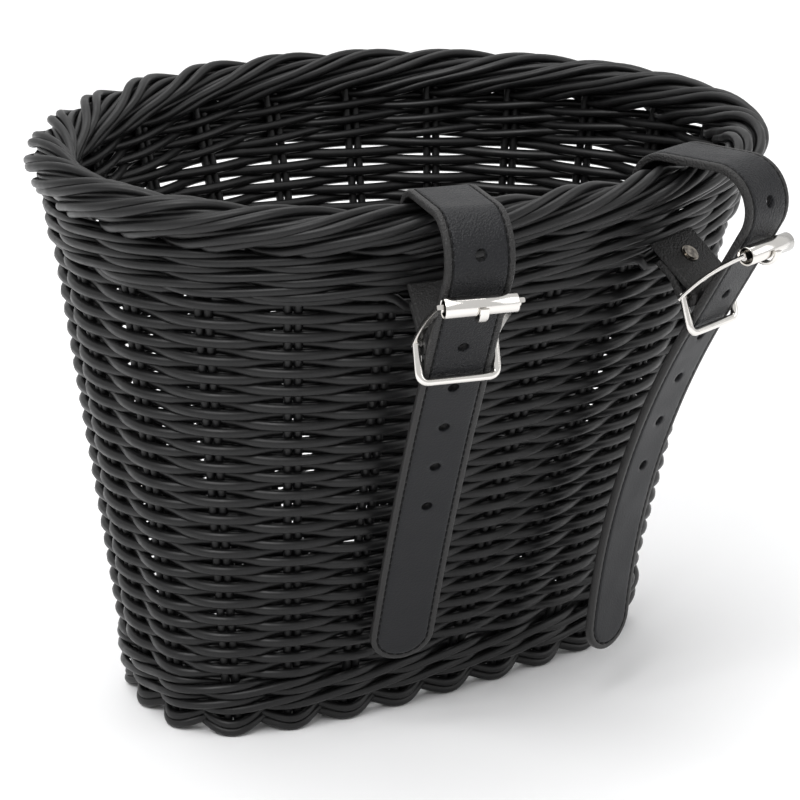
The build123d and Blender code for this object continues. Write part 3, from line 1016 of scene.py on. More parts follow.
class WovenBody:
    """Everything that is woven: floor, foot, wales, side and rim."""

    def __init__(self, wall: Wall, finish: bpy.types.Material, size: WeaveSize) -> None:
        """Get ready to weave.

        Args:
            wall: the basket's wall.
            finish: the material it gets.
            size: its sizes.
        """
        self.wall = wall
        self.finish = finish
        self.size = size
        self.rods = RodTree("rods_round_wall")
        self.rolled = RolledTree("rods_round_rim")

    def piece(self, name: str, meshes: list[bpy.types.Mesh], *nodes: str) -> None:
        """Join what was woven, and let it stand for the plain CAD nodes.

        Args:
            name: the piece's name.
            meshes: its sets of rods.
            nodes: the CAD nodes that it stands for.
        """
        made = merge_meshes(name, meshes)
        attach(made, "basket")
        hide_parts(*nodes)
        LOG.info("%s: %d faces", name, len(made.data.polygons))

    def side(self) -> None:
        """The plain weave of the side, one rod that climbs round and round."""
        size = self.size
        low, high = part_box("side_weave")
        pitch = (high.z - low.z) / size.side_rows
        run = RodRun(level=low.z + 0.4 * pitch, laps=size.side_rows - 0.4, rise=pitch, radius=size.side_rod,
                     swing=size.side_swing, flatness=0.5, wobble=0.1 * MM, parted=True, seed=3.0)
        self.piece("woven_side", [self.rods.make("woven_side", run, self.wall, self.finish)], "side_weave")

    def wale(self, name: str, node: str, low: float, high: float, rounds: int, seed: float) -> None:
        """Rounds of three-rod wale: in front of two stake pairs and behind one.

        Args:
            name: the piece's name.
            node: the CAD node that it stands for.
            low: the lowest rod's centre height.
            high: the highest rod's centre height.
            rounds: how many rounds.
            seed: for its small irregularities.
        """
        pitch = (high - low) / rounds
        run = RodRun(level=low + pitch / 2, laps=3.0, closed=True, strands=rounds, strand_lift=pitch,
                     period=3.0, swing=self.size.wale_swing, bias=1 / 3, first=-1.075, second=-0.258,
                     flatness=0.6, heave=-pitch * 0.3, points_per_pair=9, sides=10, parted=True,
                     wobble=0.2 * MM, seed=seed)
        self.piece(name, [self.rods.make(name, run, self.wall, self.finish)], node)

    def foot(self) -> None:
        """The foot: paired rods in scallops that hang below the wall."""
        size = self.size
        low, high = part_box("foot_border")
        middle = (low.z + high.z) / 2
        rods = []
        for number, (raised, inward) in enumerate(((0.0, 0.0), (size.foot_rise, -size.foot_inward))):
            run = RodRun(level=middle - 0.3 * MM + raised, laps=2.0, closed=True, period=2.0,
                         swing=size.foot_swing, bias=inward / size.foot_swing, flatness=0.7, skew=0.35,
                         dip=-2.1 * MM, heave=0.5 * MM, points_per_pair=12, sides=10, wobble=0.12 * MM,
                         seed=20.0 + number)
            rods.append(self.rods.make("foot", run, self.wall, self.finish))
        self.piece("foot_scallops", rods, "foot_border")

    def rim(self) -> None:
        """The rolled rim: four pairs of rods over a thinner core."""
        wall, size = self.wall, self.size
        reach = wall.rim_radius - size.rim_rod
        outer = RodRun(level=wall.rim_level, laps=4.0, start=0.0, closed=True, strands=2, strand_phase=0.46,
                       period=4.0, swing=reach, first=1.0, second=0.25 * MM, skew=0.2,
                       radius=size.rim_outer_rod, points_per_pair=11, sides=10, wobble=0.25 * MM, seed=41.0)
        core = RodRun(level=wall.rim_level, laps=4.0, start=0.0, closed=True, strands=2, strand_phase=0.7,
                      bias=0.85, period=4.0, swing=reach * size.core_reach, first=1.0, skew=0.1,
                      radius=size.rim_rod, points_per_pair=9, sides=8, wobble=0.3 * MM, seed=47.0)
        meshes = [self.rolled.make("rim", run, wall, self.finish) for run in (outer, core)]
        self.piece("rolled_rim", meshes, "rim_border")

    def floor(self) -> None:
        """The floor's weave over its stick pairs."""
        size = self.size
        low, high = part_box("base_weave")
        pitch = size.floor_row
        count = int((high.y - low.y - 4 * MM) / pitch)
        origin = (high.y + low.y) / 2 - pitch * (count - 1) / 2
        curve = bpy.data.curves.new("rows", "CURVE")
        curve.dimensions = "3D"
        for i in range(count):
            y = origin + i * pitch
            reached = (abs(px) for px, py in self.wall.base_points if abs(py + self.wall.shift - y) < 2 * MM)
            half = max(reached) - size.floor_inset
            spline = curve.splines.new("POLY")
            spline.points.add(1)
            for point, x in zip(spline.points, (-half, half)):
                point.co = (x, y, 0.0, 1.0)
        rows = bpy.data.objects.new("rows", curve)
        bpy.context.scene.collection.objects.link(rows)
        tree = PanelTree("rods_across_floor")
        mesh = tree.graph.evaluate("woven_floor", {
            "Rows": rows, "Stick pitch": size.floor_stick_pitch, "Row pitch": pitch, "Row origin": origin,
            "Level": (low.z + high.z) / 2, "Swing": size.floor_swing, "Radius": size.floor_rod, "Seed": 5.0,
            "Material": self.finish,
        })
        bpy.data.objects.remove(rows)
        self.piece("woven_floor", [mesh], "base_weave")

    def build(self) -> None:
        """Weave every part, and coat the stakes and sticks."""
        self.floor()
        self.foot()
        self.wale("lower_wale_rods", "lower_wale", *self.size.lower_wale, 2, 11.0)
        self.side()
        top = self.wall.rim_level - self.wall.rim_radius + self.size.upper_wale_top
        self.wale("upper_wale_rods", "upper_wale", self.size.upper_wale_low, top, 3, 13.0)
        self.rim()
        coat(("side_stakes", "base_sticks"), self.finish)


def coat(nodes: tuple[str, ...], finish: bpy.types.Material) -> None:
    """Give CAD nodes a finer material.

    Args:
        nodes: the CAD nodes meant.
        finish: the material it gets.
    """
    for name in nodes:
        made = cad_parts[name]
        for slot in made.material_slots:
            slot.material = finish
        for face in made.data.polygons:
            face.use_smooth = True
        LOG.info("%s: coated with %s", name, finish.name)


# ---------------------------------------------------------------- straps


class SidePath:
    """A side path of lines and arcs; u is outwards from the wall, v is up."""

    def __init__(self, u: float, v: float, heading: float) -> None:
        """Start the path at a place."""
        self.u, self.v, self.heading = u, v, heading
        self.parts: list[tuple[float, float, float, float, float]] = []

    def line(self, length: float) -> "SidePath":
        """Go straight on.

        Args:
            length: how far.

        Returns:
            The same path.
        """
        self.parts.append((self.u, self.v, self.heading, length, 0.0))
        self.u += length * cos(radians(self.heading))
        self.v += length * sin(radians(self.heading))
        return self

    def arc(self, radius: float, turn: float) -> "SidePath":
        """Turn by an angle in degrees; positive turns to the left.

        Args:
            radius: the bend's radius.
            turn: how far it turns, in degrees.

        Returns:
            The same path.
        """
        length = radius * radians(abs(turn))
        part = (self.u, self.v, self.heading, length, turn)
        self.u, self.v, self.heading = self.along(part, length, 0.0)
        self.parts.append(part)
        return self

    @staticmethod
    def along(part: tuple, distance: float, offset: float) -> tuple[float, float, float]:
        """Place and heading at a distance along one part, moved to the left by an offset.

        Args:
            part: one line or arc.
            distance: how far along the part.
            offset: how far to the left.

        Returns:
            The two coordinates and the heading.
        """
        u, v, heading, length, turn = part
        start = here = radians(heading)
        if turn == 0.0:
            u += distance * cos(start)
            v += distance * sin(start)
        else:
            radius = length / radians(turn)
            here = start + distance / radius
            u += radius * (sin(here) - sin(start))
            v += radius * (cos(start) - cos(here))
        return u - offset * sin(here), v + offset * cos(here), degrees(here)

    def length(self) -> float:
        """The whole path's length."""
        return sum(part[3] for part in self.parts)

    def at(self, distance: float, offset: float = 0.0) -> tuple[float, float, float]:
        """Place and heading at a distance from the start.

        Args:
            distance: how far from the start.
            offset: how far to the left.

        Returns:
            The two coordinates and the heading.
        """
        for part in self.parts:
            if distance <= part[3]:
                return self.along(part, distance, offset)
            distance -= part[3]
        last = self.parts[-1]
        return self.along(last, last[3] + distance, offset)


@dataclass(frozen=True)
class StrapSize:
    """The strap's sizes. Its outline and its bends follow the CAD part."""

    width: float = 21 * MM
    thick: float = 2.4 * MM
    rim_gap: float = 1.0 * MM
    bar_radius: float = 11.1 * MM
    bar_fit: float = 0.05 * MM
    rim_to_bar: float = 0.6 * MM
    wrap: float = 120.0
    straight: float = 40.2 * MM
    hole: float = 1.7 * MM
    hole_pitch: float = 17.5 * MM
    prong_hole: float = 9.0 * MM
    tail: float = 125 * MM
    centre_place: float = 30 * MM
    centre_bar: float = 1.35 * MM
    fold_slack: float = 0.4 * MM
    fold_angle: float = 38.0
    fold_taper: float = 20.0
    fold_flat: float = 5.5 * MM
    fold_bend: float = 6.0 * MM
    inside_bend: float = 4.0 * MM
    layer_gap: float = 0.1 * MM
    stitch_inset: float = 2.1 * MM
    tail_bend_left: float = 8.0
    tail_bend_right: float = 27.0
    slot_half: float = 3.4 * MM
    slot_radius: float = 1.6 * MM
    edge_band: float = 2.3 * MM

    def tail_bend(self, side: Side) -> float:
        """How far the free end bends, in degrees."""
        return self.tail_bend_left if side is Side.LEFT else self.tail_bend_right


class Strap:
    """One strap: a folded loop and its hanging free end, cut from one strip."""

    EDGE_RINGS = (0.0, 0.12, 0.35, 0.75, 1.3, 1.65, 1.95, 2.25, 2.6, 3.2)
    GROOVE_DEPTH = 0.42 * MM
    GROOVE_HALF = 0.55 * MM
    PAD_RISE = 0.12 * MM
    STEP = 1.3 * MM

    def __init__(self, side: Side, wall: Wall, size: StrapSize) -> None:
        """Place the strap on the rim.

        Args:
            side: which strap.
            wall: the basket's wall.
            size: its sizes.
        """
        self.side, self.size = side, size
        place, outward = wall.place(RodTree.SLOT.position, wall.rim_level)
        turn = side.value * atan2(outward.x, -outward.y)
        move = Matrix.Translation((side.value * place.x, place.y, place.z))
        self.frame = move @ Matrix.Rotation(turn, 4, "Z")
        self.half = size.thick / 2
        self.path, self.marks = self.lay_out(wall)
        self.length = self.path.length()

    def lay_out(self, wall: Wall) -> tuple[SidePath, dict[str, float]]:
        """The strip's side path, from the fold's free end to the tip of the tail.

        Args:
            wall: the basket's wall.

        Returns:
            The path, and its landmarks by name.
        """
        s, half = self.size, self.half
        wrap = s.bar_radius + s.bar_fit + half
        crest = wall.rim_radius + s.rim_gap + half
        bar = (wall.rim_radius + s.rim_to_bar + s.bar_radius, crest - wrap)
        start = (bar[0] + wrap * cos(radians(90 - s.wrap)), bar[1] + wrap * sin(radians(90 - s.wrap)))
        front = SidePath(*start, -s.wrap).line(s.straight)
        fold = s.centre_bar + half
        centre = front.at(s.centre_place, -(half + s.fold_slack + fold + half))[:2]
        heading = 180 - s.fold_angle
        layer = (centre[0] + fold * sin(radians(s.fold_angle)), centre[1] + fold * cos(radians(s.fold_angle)))
        taper = radians(s.fold_taper)
        drop = 2 * fold - fold * (1 - cos(taper)) - s.thick - s.layer_gap
        taper_run = (drop - s.fold_bend * (1 - cos(taper))) / sin(taper)
        back = SidePath(*layer, heading + 180)
        back.arc(fold, -(180 + s.fold_taper)).line(taper_run).arc(s.fold_bend, s.fold_taper).line(s.fold_flat)
        path = SidePath(back.u, back.v, back.heading + 180)
        path.line(s.fold_flat).arc(s.fold_bend, -s.fold_taper).line(taper_run)
        fold_middle = path.length() + fold * radians(180 + s.fold_taper) / 2
        path.arc(fold, 180 + s.fold_taper)
        turn = heading - 90
        reach = s.inside_bend * sin(radians(turn / 2)) / cos(radians(turn / 2))
        path.line((layer[0] + crest) / cos(radians(s.fold_angle)) - reach)
        path.arc(s.inside_bend, -turn).line(-path.v)
        marks = {"fold": fold_middle, "inside": path.length() - 6 * MM}
        path.arc(crest, -90.0).line(bar[0] - path.u).arc(wrap, -s.wrap)
        marks["front"] = path.length()
        path.line(s.straight)
        marks["hinge"] = path.length()
        bend = s.tail_bend(self.side)
        path.arc(s.tail / radians(bend), bend)
        return path, marks

    def spot(self, x: float, distance: float, height: float) -> Vector:
        """A point on the strap, from its place across, along and above its middle layer."""
        u, v, _ = self.path.at(distance, height)
        return self.frame @ Vector((x, -u, v))

    def edge_distance(self, x: float, distance: float) -> float:
        """How far inside the strip's outline a flat place is.

        Args:
            x: how far across the strip.
            distance: how far along the strip.

        Returns:
            The distance.
        """
        half = self.size.width / 2
        tip = self.length - half
        if distance > tip:
            return half - hypot(x, distance - tip)
        return min(half - abs(x), distance)

    def holes(self) -> list[tuple[float, float, float]]:
        """Each hole's place along the strip, half length of its straight part and radius."""
        s = self.size
        places = [self.marks["front"] + s.prong_hole + i * s.hole_pitch for i in range(-1, 6)]
        round_holes = [(place, 0.0, s.hole) for place in places if place < self.length - 15 * MM]
        return round_holes + [(self.marks["fold"], s.slot_half, s.slot_radius)]

    def hole_distance(self, x: float, distance: float) -> float:
        """How far a flat place is outside the nearest hole.

        Args:
            x: how far across the strip.
            distance: how far along the strip.

        Returns:
            The distance.
        """
        nearest = 1.0
        for place, run, radius in self.holes():
            away = max(abs(distance - place) - run, 0.0)
            nearest = min(nearest, hypot(x, away) - radius)
        return nearest

    def outline(self, inset: float) -> list[tuple[float, float]]:
        """The strip's flat outline, drawn in by an inset.

        Args:
            inset: how far in from the edge.

        Returns:
            Its places, in order.
        """
        half = self.size.width / 2
        radius = half - inset
        tip = self.length - half
        count = ceil((tip - inset) / self.STEP)
        run = [inset + (tip - inset) * i / count for i in range(count)]
        arc = [pi * i / 22 for i in range(23)]
        right = [(radius, d) for d in run]
        round_tip = [(radius * cos(a), tip + radius * sin(a)) for a in arc]
        left = [(-radius, d) for d in reversed(run)]
        across = ceil(2 * radius / self.STEP)
        base = [(-radius + 2 * radius * i / across, inset) for i in range(1, across)]
        return right + round_tip + left + base

    def hole_rings(self) -> list[list[tuple[float, float]]]:
        """Closed rings round each hole, from its wall outwards."""
        rings = []
        for place, run, radius in self.holes():
            for grow in (0.0, 0.15 * MM, 0.4 * MM):
                r = radius + grow
                ring = []
                for i in range(24):
                    angle = 2 * pi * (i + 0.5) / 24
                    shift = run if sin(angle) > 0 else -run
                    ring.append((r * cos(angle), place + shift + r * sin(angle)))
                rings.append(ring)
        return rings

    def flat_mesh(self) -> tuple[list[tuple[float, float]], list[tuple[int, ...]]]:
        """The strip cut out flat, with its holes."""
        points: list[tuple[float, float]] = []
        edges: list[tuple[int, int]] = []
        loops = [self.outline(ring * MM) for ring in self.EDGE_RINGS] + self.hole_rings()
        for loop in loops:
            first = len(points)
            points.extend(loop)
            edges.extend((first + i, first + (i + 1) % len(loop)) for i in range(len(loop)))
        last_ring = self.EDGE_RINGS[-1] * MM
        half = self.size.width / 2 - last_ring
        columns = ceil(2 * half / self.STEP)
        rows = ceil(self.length / self.STEP)
        for i in range(rows + 1):
            distance = self.length * i / rows
            for j in range(columns + 1):
                x = -half + 2 * half * (j + 0.5 * (i % 2)) / columns
                clear = self.edge_distance(x, distance) > last_ring + 0.5 * MM
                if clear and self.hole_distance(x, distance) > 0.9 * MM:
                    points.append((x, distance))
        flat = [Vector(p) for p in points]
        found = delaunay_2d_cdt(flat, edges, [], 0, 1e-7)
        places = [(p.x, p.y) for p in found[0]]
        faces = []
        for face in found[2]:
            x = sum(places[i][0] for i in face) / len(face)
            d = sum(places[i][1] for i in face) / len(face)
            if self.edge_distance(x, d) > 0.0 and self.hole_distance(x, d) > 0.0:
                faces.append(tuple(face))
        return places, faces

    def upper(self, x: float, distance: float) -> float:
        """The outer face's height above the middle layer, with its rounded edge and stitch groove.

        Args:
            x: how far across the strip.
            distance: how far along the strip.

        Returns:
            The height.
        """
        edge = self.edge_distance(x, distance)
        hole = self.hole_distance(x, distance)
        soft = 0.75 * MM
        height = self.half
        if edge < soft:
            share = 1 - max(edge, 0.0) / soft
            height -= 0.7 * MM * (1 - sqrt(max(0.0, 1 - share * share)))
        groove = abs(edge - self.size.stitch_inset) / self.GROOVE_HALF
        if groove < 1.0:
            height -= self.GROOVE_DEPTH * (0.5 + 0.5 * cos(pi * groove))
        inner = min(max((edge - self.size.stitch_inset) / (1.5 * MM), 0.0), 1.0)
        height += self.PAD_RISE * inner * inner * (3 - 2 * inner)
        if hole < 0.4 * MM:
            height -= 0.3 * MM * (1 - max(hole, 0.0) / (0.4 * MM)) ** 2
        return height

    def lower(self, x: float, distance: float) -> float:
        """The lining side's height under the middle layer.

        Args:
            x: how far across the strip.
            distance: how far along the strip.

        Returns:
            The height.
        """
        edge = self.edge_distance(x, distance)
        soft = 0.5 * MM
        if edge < soft:
            share = 1 - max(edge, 0.0) / soft
            return -self.half + 0.45 * MM * (1 - sqrt(max(0.0, 1 - share * share)))
        return -self.half

    def build(self, finish: bpy.types.Material) -> bpy.types.Object:
        """The finished strap as one closed mesh.

        Args:
            finish: the material it gets.

        Returns:
            The strap's object.
        """
        places, faces = self.flat_mesh()
        count = len(places)
        top = [self.spot(x, d, self.upper(x, d)) for x, d in places]
        bottom = [self.spot(x, d, self.lower(x, d)) for x, d in places]
        borders: dict[tuple[int, int], int] = {}
        for face in faces:
            for a, b in zip(face, face[1:] + face[:1]):
                borders[(a, b)] = borders.get((a, b), 0) + 1
        walls = [(b, a, a + count, b + count) for (a, b) in borders if (b, a) not in borders]
        skins = [tuple(face) for face in faces] + [tuple(i + count for i in reversed(face)) for face in faces]
        mesh = bpy.data.meshes.new(f"{self.side.word}_strap")
        mesh.from_pydata(top + bottom, [], skins + walls)
        mesh.validate()
        mesh.materials.append(finish)
        grain = mesh.attributes.new("grain", "FLOAT", "POINT")
        edge = mesh.attributes.new("edge", "FLOAT", "POINT")
        hinge = self.marks["hinge"]
        for i, (x, d) in enumerate(places + places):
            smooth = min(max((d - hinge + 12 * MM) / (20 * MM), 0.0), 1.0)
            grain.data[i].value = 1.0 - 0.85 * smooth
            inset = self.edge_distance(x, d)
            pale = min(max((self.size.edge_band - inset) / (0.5 * MM), 0.0), 1.0)
            edge.data[i].value = pale if i < count else 1.0
        made = add_object(mesh.name, mesh)
        self.face_outwards(made)
        LOG.info("%s: %d faces", made.name, len(mesh.polygons))
        return made

    @staticmethod
    def face_outwards(made: bpy.types.Object) -> None:
        """Turn the faces outwards and shade them smooth between sharp rims.

        Args:
            made: the object.
        """
        work = bmesh.new()
        work.from_mesh(made.data)
        bmesh.ops.recalc_face_normals(work, faces=work.faces)
        for face in work.faces:
            face.smooth = True
        for edge in work.edges:
            edge.smooth = edge.calc_face_angle(0.0) < radians(50)
        work.to_mesh(made.data)
        work.free()

    def seam(self) -> bpy.types.Object:
        """The stitch line as a guide curve: up one edge, round the tip and back."""
        inset = self.size.stitch_inset
        line = [p for p in self.outline(inset) if p[1] > self.marks["inside"]]
        curve = bpy.data.curves.new("seam", "CURVE")
        curve.dimensions = "3D"
        spline = curve.splines.new("POLY")
        spline.points.add(len(line) - 1)
        for point, (x, d) in zip(spline.points, line):
            height = self.upper(x, d) + 0.1 * MM
            point.co = (*self.spot(x, d, height), 1.0)
        made = bpy.data.objects.new("seam", curve)
        bpy.context.scene.collection.objects.link(made)
        return made

    def bend_span(self) -> tuple[Vector, Vector]:
        """The two points between which the strip bends from the loop to its free end."""
        hinge = self.marks["hinge"]
        return self.spot(0.0, hinge - 3 * MM, 0.0), self.spot(0.0, hinge + 3 * MM, 0.0)

    def dress(self, made: bpy.types.Object, slot: str, *nodes: str) -> None:
        """Let a piece stand for the plain CAD nodes, with its placement baked into its mesh.

        Args:
            made: the object.
            slot: not used.
            nodes: the CAD nodes meant.
        """
        f"{self.side.word}_tail"
        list(self.bend_span())
        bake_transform(made)
        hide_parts(*nodes)


class StitchTree:
    """The node tree that sews stitches along a seam."""

    PITCH = 3.0 * MM
    STITCH = 2.7 * MM
    THREAD_RADIUS = 0.42 * MM

    def __init__(self, name: str) -> None:
        """Build the tree.

        Args:
            name: its name.
        """
        graph = self.graph = NodeGraph(name)
        seam = graph.input("Seam", "NodeSocketObject")
        pitch = graph.input("Pitch")
        length = graph.input("Stitch")
        radius = graph.input("Thread radius")
        material = graph.input("Material", "NodeSocketMaterial")
        shape = graph.node("GeometryNodeObjectInfo", {"Object": seam})
        points = graph.node(
            "GeometryNodeCurveToPoints", {"Curve": shape.outputs["Geometry"], "Length": pitch}, mode="LENGTH"
        )
        bead = graph.node("GeometryNodeMeshUVSphere", {"Segments": 8, "Rings": 6, "Radius": 1.0})
        size = graph.node("ShaderNodeCombineXYZ", {0: radius, 1: radius, 2: length / 2.0})
        sewn = graph.node(
            "GeometryNodeInstanceOnPoints",
            {
                "Points": points.outputs["Points"],
                "Instance": bead.outputs["Mesh"],
                "Rotation": points.outputs["Rotation"],
                "Scale": size.outputs[0],
            },
        )
        graph.finish(sewn.outputs[0], material)

    def sew(self, strap: Strap, finish: bpy.types.Material) -> bpy.types.Object:
        """Sew one strap's seam.

        Args:
            strap: the strap it belongs to.
            finish: the material it gets.

        Returns:
            The stitches' object.
        """
        seam = strap.seam()
        name = f"{strap.side.word}_stitches"
        mesh = self.graph.evaluate(name, {
            "Seam": seam,
            "Pitch": self.PITCH,
            "Stitch": self.STITCH,
            "Thread radius": self.THREAD_RADIUS,
            "Material": finish,
        })
        bpy.data.objects.remove(seam)
        LOG.info("%s: %d faces", name, len(mesh.polygons))
        return add_object(name, mesh)


# ---------------------------------------------------------------- buckles


@dataclass(frozen=True)
class BuckleSize:
    """The buckle's sizes. Its three cross bars sit where the CAD part has them."""

    roller_place: float = 4.75 * MM
    roller_radius: float = 3.0 * MM
    roller_bore: float = 2.45 * MM
    roller_lip: float = 0.22 * MM
    roller_slack: float = 0.8 * MM
    roller_bar: float = 1.2 * MM
    bottom_place: float = 38.0 * MM
    bottom_slack: float = 0.6 * MM
    wire: float = 1.25 * MM
    corner: float = 3.0 * MM
    arm_clearance: float = 0.8 * MM
    arm_thick: float = 1.5 * MM
    arm_half: float = 1.25 * MM
    arm_bow: float = 2.6 * MM
    end_gap: float = 0.2 * MM
    prong_depth: float = 4.2 * MM
    prong_bend: float = 2.0 * MM
    prong_reach: float = 4.25 * MM
    prong_wrap: float = 122.0
    prong_half: float = 1.35 * MM
    prong_thick: float = 0.7 * MM
    eye: float = 2.4 * MM


class Bars:
    """Bent bars collected into one mesh, each a closed skin of rings."""

    def __init__(self) -> None:
        """Start with no bars."""
        self.points: list[Vector] = []
        self.faces: list[tuple[int, ...]] = []

    def bar(self, path: list[Vector], across: Vector, halves: tuple[float, float],
            power: float = 2.0, sides: int = 18) -> "Bars":
        """Add a bar.

        Args:
            path: its centre line.
            across: the direction its first half size is measured in.
            halves: its two half sizes.
            power: 2 for a round section, more for a squarer one.
            sides: how many points go round it.

        Returns:
            The same collection.
        """
        first, last = len(self.points), len(path) - 1
        for i, centre in enumerate(path):
            along = (path[min(i + 1, last)] - path[max(i - 1, 0)]).normalized()
            side = (across - along * across.dot(along)).normalized()
            deep = along.cross(side)
            for j in range(sides):
                c, s = cos(2 * pi * j / sides), sin(2 * pi * j / sides)
                wide = halves[0] * copysign(abs(c) ** (2 / power), c)
                high = halves[1] * copysign(abs(s) ** (2 / power), s)
                self.points.append(centre + side * wide + deep * high)
        for i in range(last):
            for j in range(sides):
                a, b = first + i * sides + j, first + i * sides + (j + 1) % sides
                self.faces.append((a, b, b + sides, a + sides))
        self.faces.append(tuple(first + j for j in reversed(range(sides))))
        self.faces.append(tuple(first + last * sides + j for j in range(sides)))
        return self

    def build(self, name: str, finish: bpy.types.Material) -> bpy.types.Object:
        """All the bars as one object with its material.

        Args:
            name: its name.
            finish: the material it gets.

        Returns:
            The object.
        """
        mesh = bpy.data.meshes.new(name)
        mesh.from_pydata(self.points, [], self.faces)
        mesh.materials.append(finish)
        made = add_object(name, mesh)
        Strap.face_outwards(made)
        LOG.info("%s: %d faces", name, len(mesh.polygons))
        return made


class Buckle:
    """A roller buckle: a bent wire frame with flat arms, a loose tube and a flat prong."""

    def __init__(self, strap: Strap, size: BuckleSize) -> None:
        """Place the three cross bars beside the strap.

        Args:
            strap: the strap it belongs to.
            size: its sizes.
        """
        self.strap, self.size = strap, size
        leather = strap.size
        fold = leather.centre_bar + strap.half
        self.arm = leather.width / 2 + size.arm_clearance + size.arm_thick / 2
        self.centre = self.bar_place(leather.centre_place, -(2 * strap.half + leather.fold_slack + fold))
        self.roller = self.bar_place(size.roller_place, strap.half + size.roller_slack + size.roller_radius)
        self.bottom = self.bar_place(size.bottom_place, strap.half + size.bottom_slack + size.wire)

    def bar_place(self, place: float, offset: float) -> tuple[float, float]:
        """Where a cross bar's axis is, beside the strap's straight front."""
        return self.strap.path.at(self.strap.marks["front"] + place, offset)[:2]

    def point(self, x: float, at: tuple[float, float]) -> Vector:
        """A point across the strap at a side place."""
        return self.strap.frame @ Vector((x, -at[0], at[1]))

    @staticmethod
    def curve(a: Vector, b: Vector, c: Vector, steps: int) -> list[Vector]:
        """A bend from a to c that leans towards b, in equal shares."""
        shares = [i / steps for i in range(steps + 1)]
        return [a.lerp(b, t).lerp(b.lerp(c, t), t) for t in shares]

    def frame(self, finish: bpy.types.Material) -> bpy.types.Object:
        """The frame: bottom wire with bent corners, two flat bowed arms and two cross bars.

        Args:
            finish: the material it gets.

        Returns:
            The frame's object.
        """
        size, bars = self.size, Bars()
        across = (self.point(1.0, self.centre) - self.point(0.0, self.centre)).normalized()
        low = [self.point(side * self.arm, self.bottom) for side in (-1, 1)]
        high = [self.point(side * self.arm, self.centre) for side in (-1, 1)]
        rise = (high[0] - low[0]).normalized()
        round_centre = (self.strap.size.centre_bar, self.strap.size.centre_bar)
        wire = [high[0], high[0].lerp(low[0], 0.5)]
        wire += self.curve(low[0] + rise * size.corner, low[0], low[0] + across * size.corner, 8)
        wire += self.curve(low[1] - across * size.corner, low[1], low[1] + rise * size.corner, 8)
        wire += [high[1].lerp(low[1], 0.5), high[1]]
        bars.bar(wire, across.cross(rise), (size.wire, size.wire))
        bars.bar(high, rise, round_centre)
        tops = [self.point(side * self.arm, self.roller) for side in (-1, 1)]
        bars.bar(tops, rise, (size.roller_bar, size.roller_bar))
        for start, end in zip(high, tops):
            run = (end - start).normalized()
            bow = run.cross(across) * size.arm_bow
            if bow.z < 0:
                bow = -bow
            middle = start.lerp(end, 0.5) + bow
            path = self.curve(start - run * size.wire, middle, end + run * size.wire, 12)
            bars.bar(path, across, (size.arm_half, size.arm_thick / 2), power=4.5, sides=24)
        return bars.build(f"{self.strap.side.word}_frame_wire", finish)

    def prong(self, finish: bpy.types.Material) -> bpy.types.Object:
        """The flat prong: an eye on the centre bar, a run behind the strap and a hook over the roller.

        Args:
            finish: the material it gets.

        Returns:
            The prong's object.
        """
        size, leather = self.size, self.strap.size
        start = self.bar_place(leather.centre_place, -size.prong_depth)
        path = SidePath(*start, 180 - leather.wrap)
        path.line(leather.centre_place - leather.prong_hole - size.prong_bend)
        path.arc(size.prong_bend, -90.0)
        rise = self.strap.half + size.roller_slack + size.roller_radius
        path.line(rise + size.prong_depth - size.prong_bend)
        path.arc(size.prong_reach, size.prong_wrap)
        count = ceil(path.length() / (0.8 * MM))
        line = [self.point(0.0, path.at(path.length() * i / count)[:2]) for i in range(count + 1)]
        across = (self.point(1.0, self.centre) - self.point(0.0, self.centre)).normalized()
        bars = Bars().bar(line, across, (size.prong_half, size.prong_thick), power=4.0)
        eye = [self.point(x, self.centre) for x in (-size.prong_half, size.prong_half)]
        bars.bar(eye, (line[1] - line[0]).normalized(), (size.eye, size.eye))
        return bars.build(f"{self.strap.side.word}_flat_prong", finish)

    def tube(self, finish: bpy.types.Material) -> bpy.types.Object:
        """The loose roller: an open tube with soft lips.

        Args:
            finish: the material it gets.

        Returns:
            The roller's object.
        """
        size, sides = self.size, 32
        half = self.arm - size.arm_thick / 2 - size.end_gap
        outer, bore, lip = size.roller_radius, size.roller_bore, size.roller_lip
        profile = [(lip - half, outer), (half - lip, outer), (half, outer - lip), (half - lip, bore),
                   (lip - half, bore), (-half, outer - lip)]
        bars = Bars()
        for x, radius in profile:
            for j in range(sides):
                u = self.roller[0] + radius * cos(2 * pi * j / sides)
                v = self.roller[1] + radius * sin(2 * pi * j / sides)
                bars.points.append(self.point(x, (u, v)))
        for i in range(len(profile)):
            for j in range(sides):
                k, m = (i + 1) % len(profile), (j + 1) % sides
                bars.faces.append((i * sides + j, i * sides + m, k * sides + m, k * sides + j))
        return bars.build(f"{self.strap.side.word}_roller_tube", finish)

    def build(self, finish: bpy.types.Material) -> None:
        """Make the three pieces, each riding on its own body.

        Args:
            finish: the material it gets.
        """
        word = self.strap.side.word
        makers = {"frame": self.frame, "prong": self.prong, "roller": self.tube}
        for kind, maker in makers.items():
            made = maker(finish)
            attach(made, f"{word}_{kind}")
            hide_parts(f"{word}_buckle_{kind}")


# ---------------------------------------------------------------- floor, lights and camera


@dataclass(frozen=True)
class SoftLight:
    """A large soft lamp that looks at the basket."""

    name: str
    place: tuple[float, float, float]
    width: float
    power: float


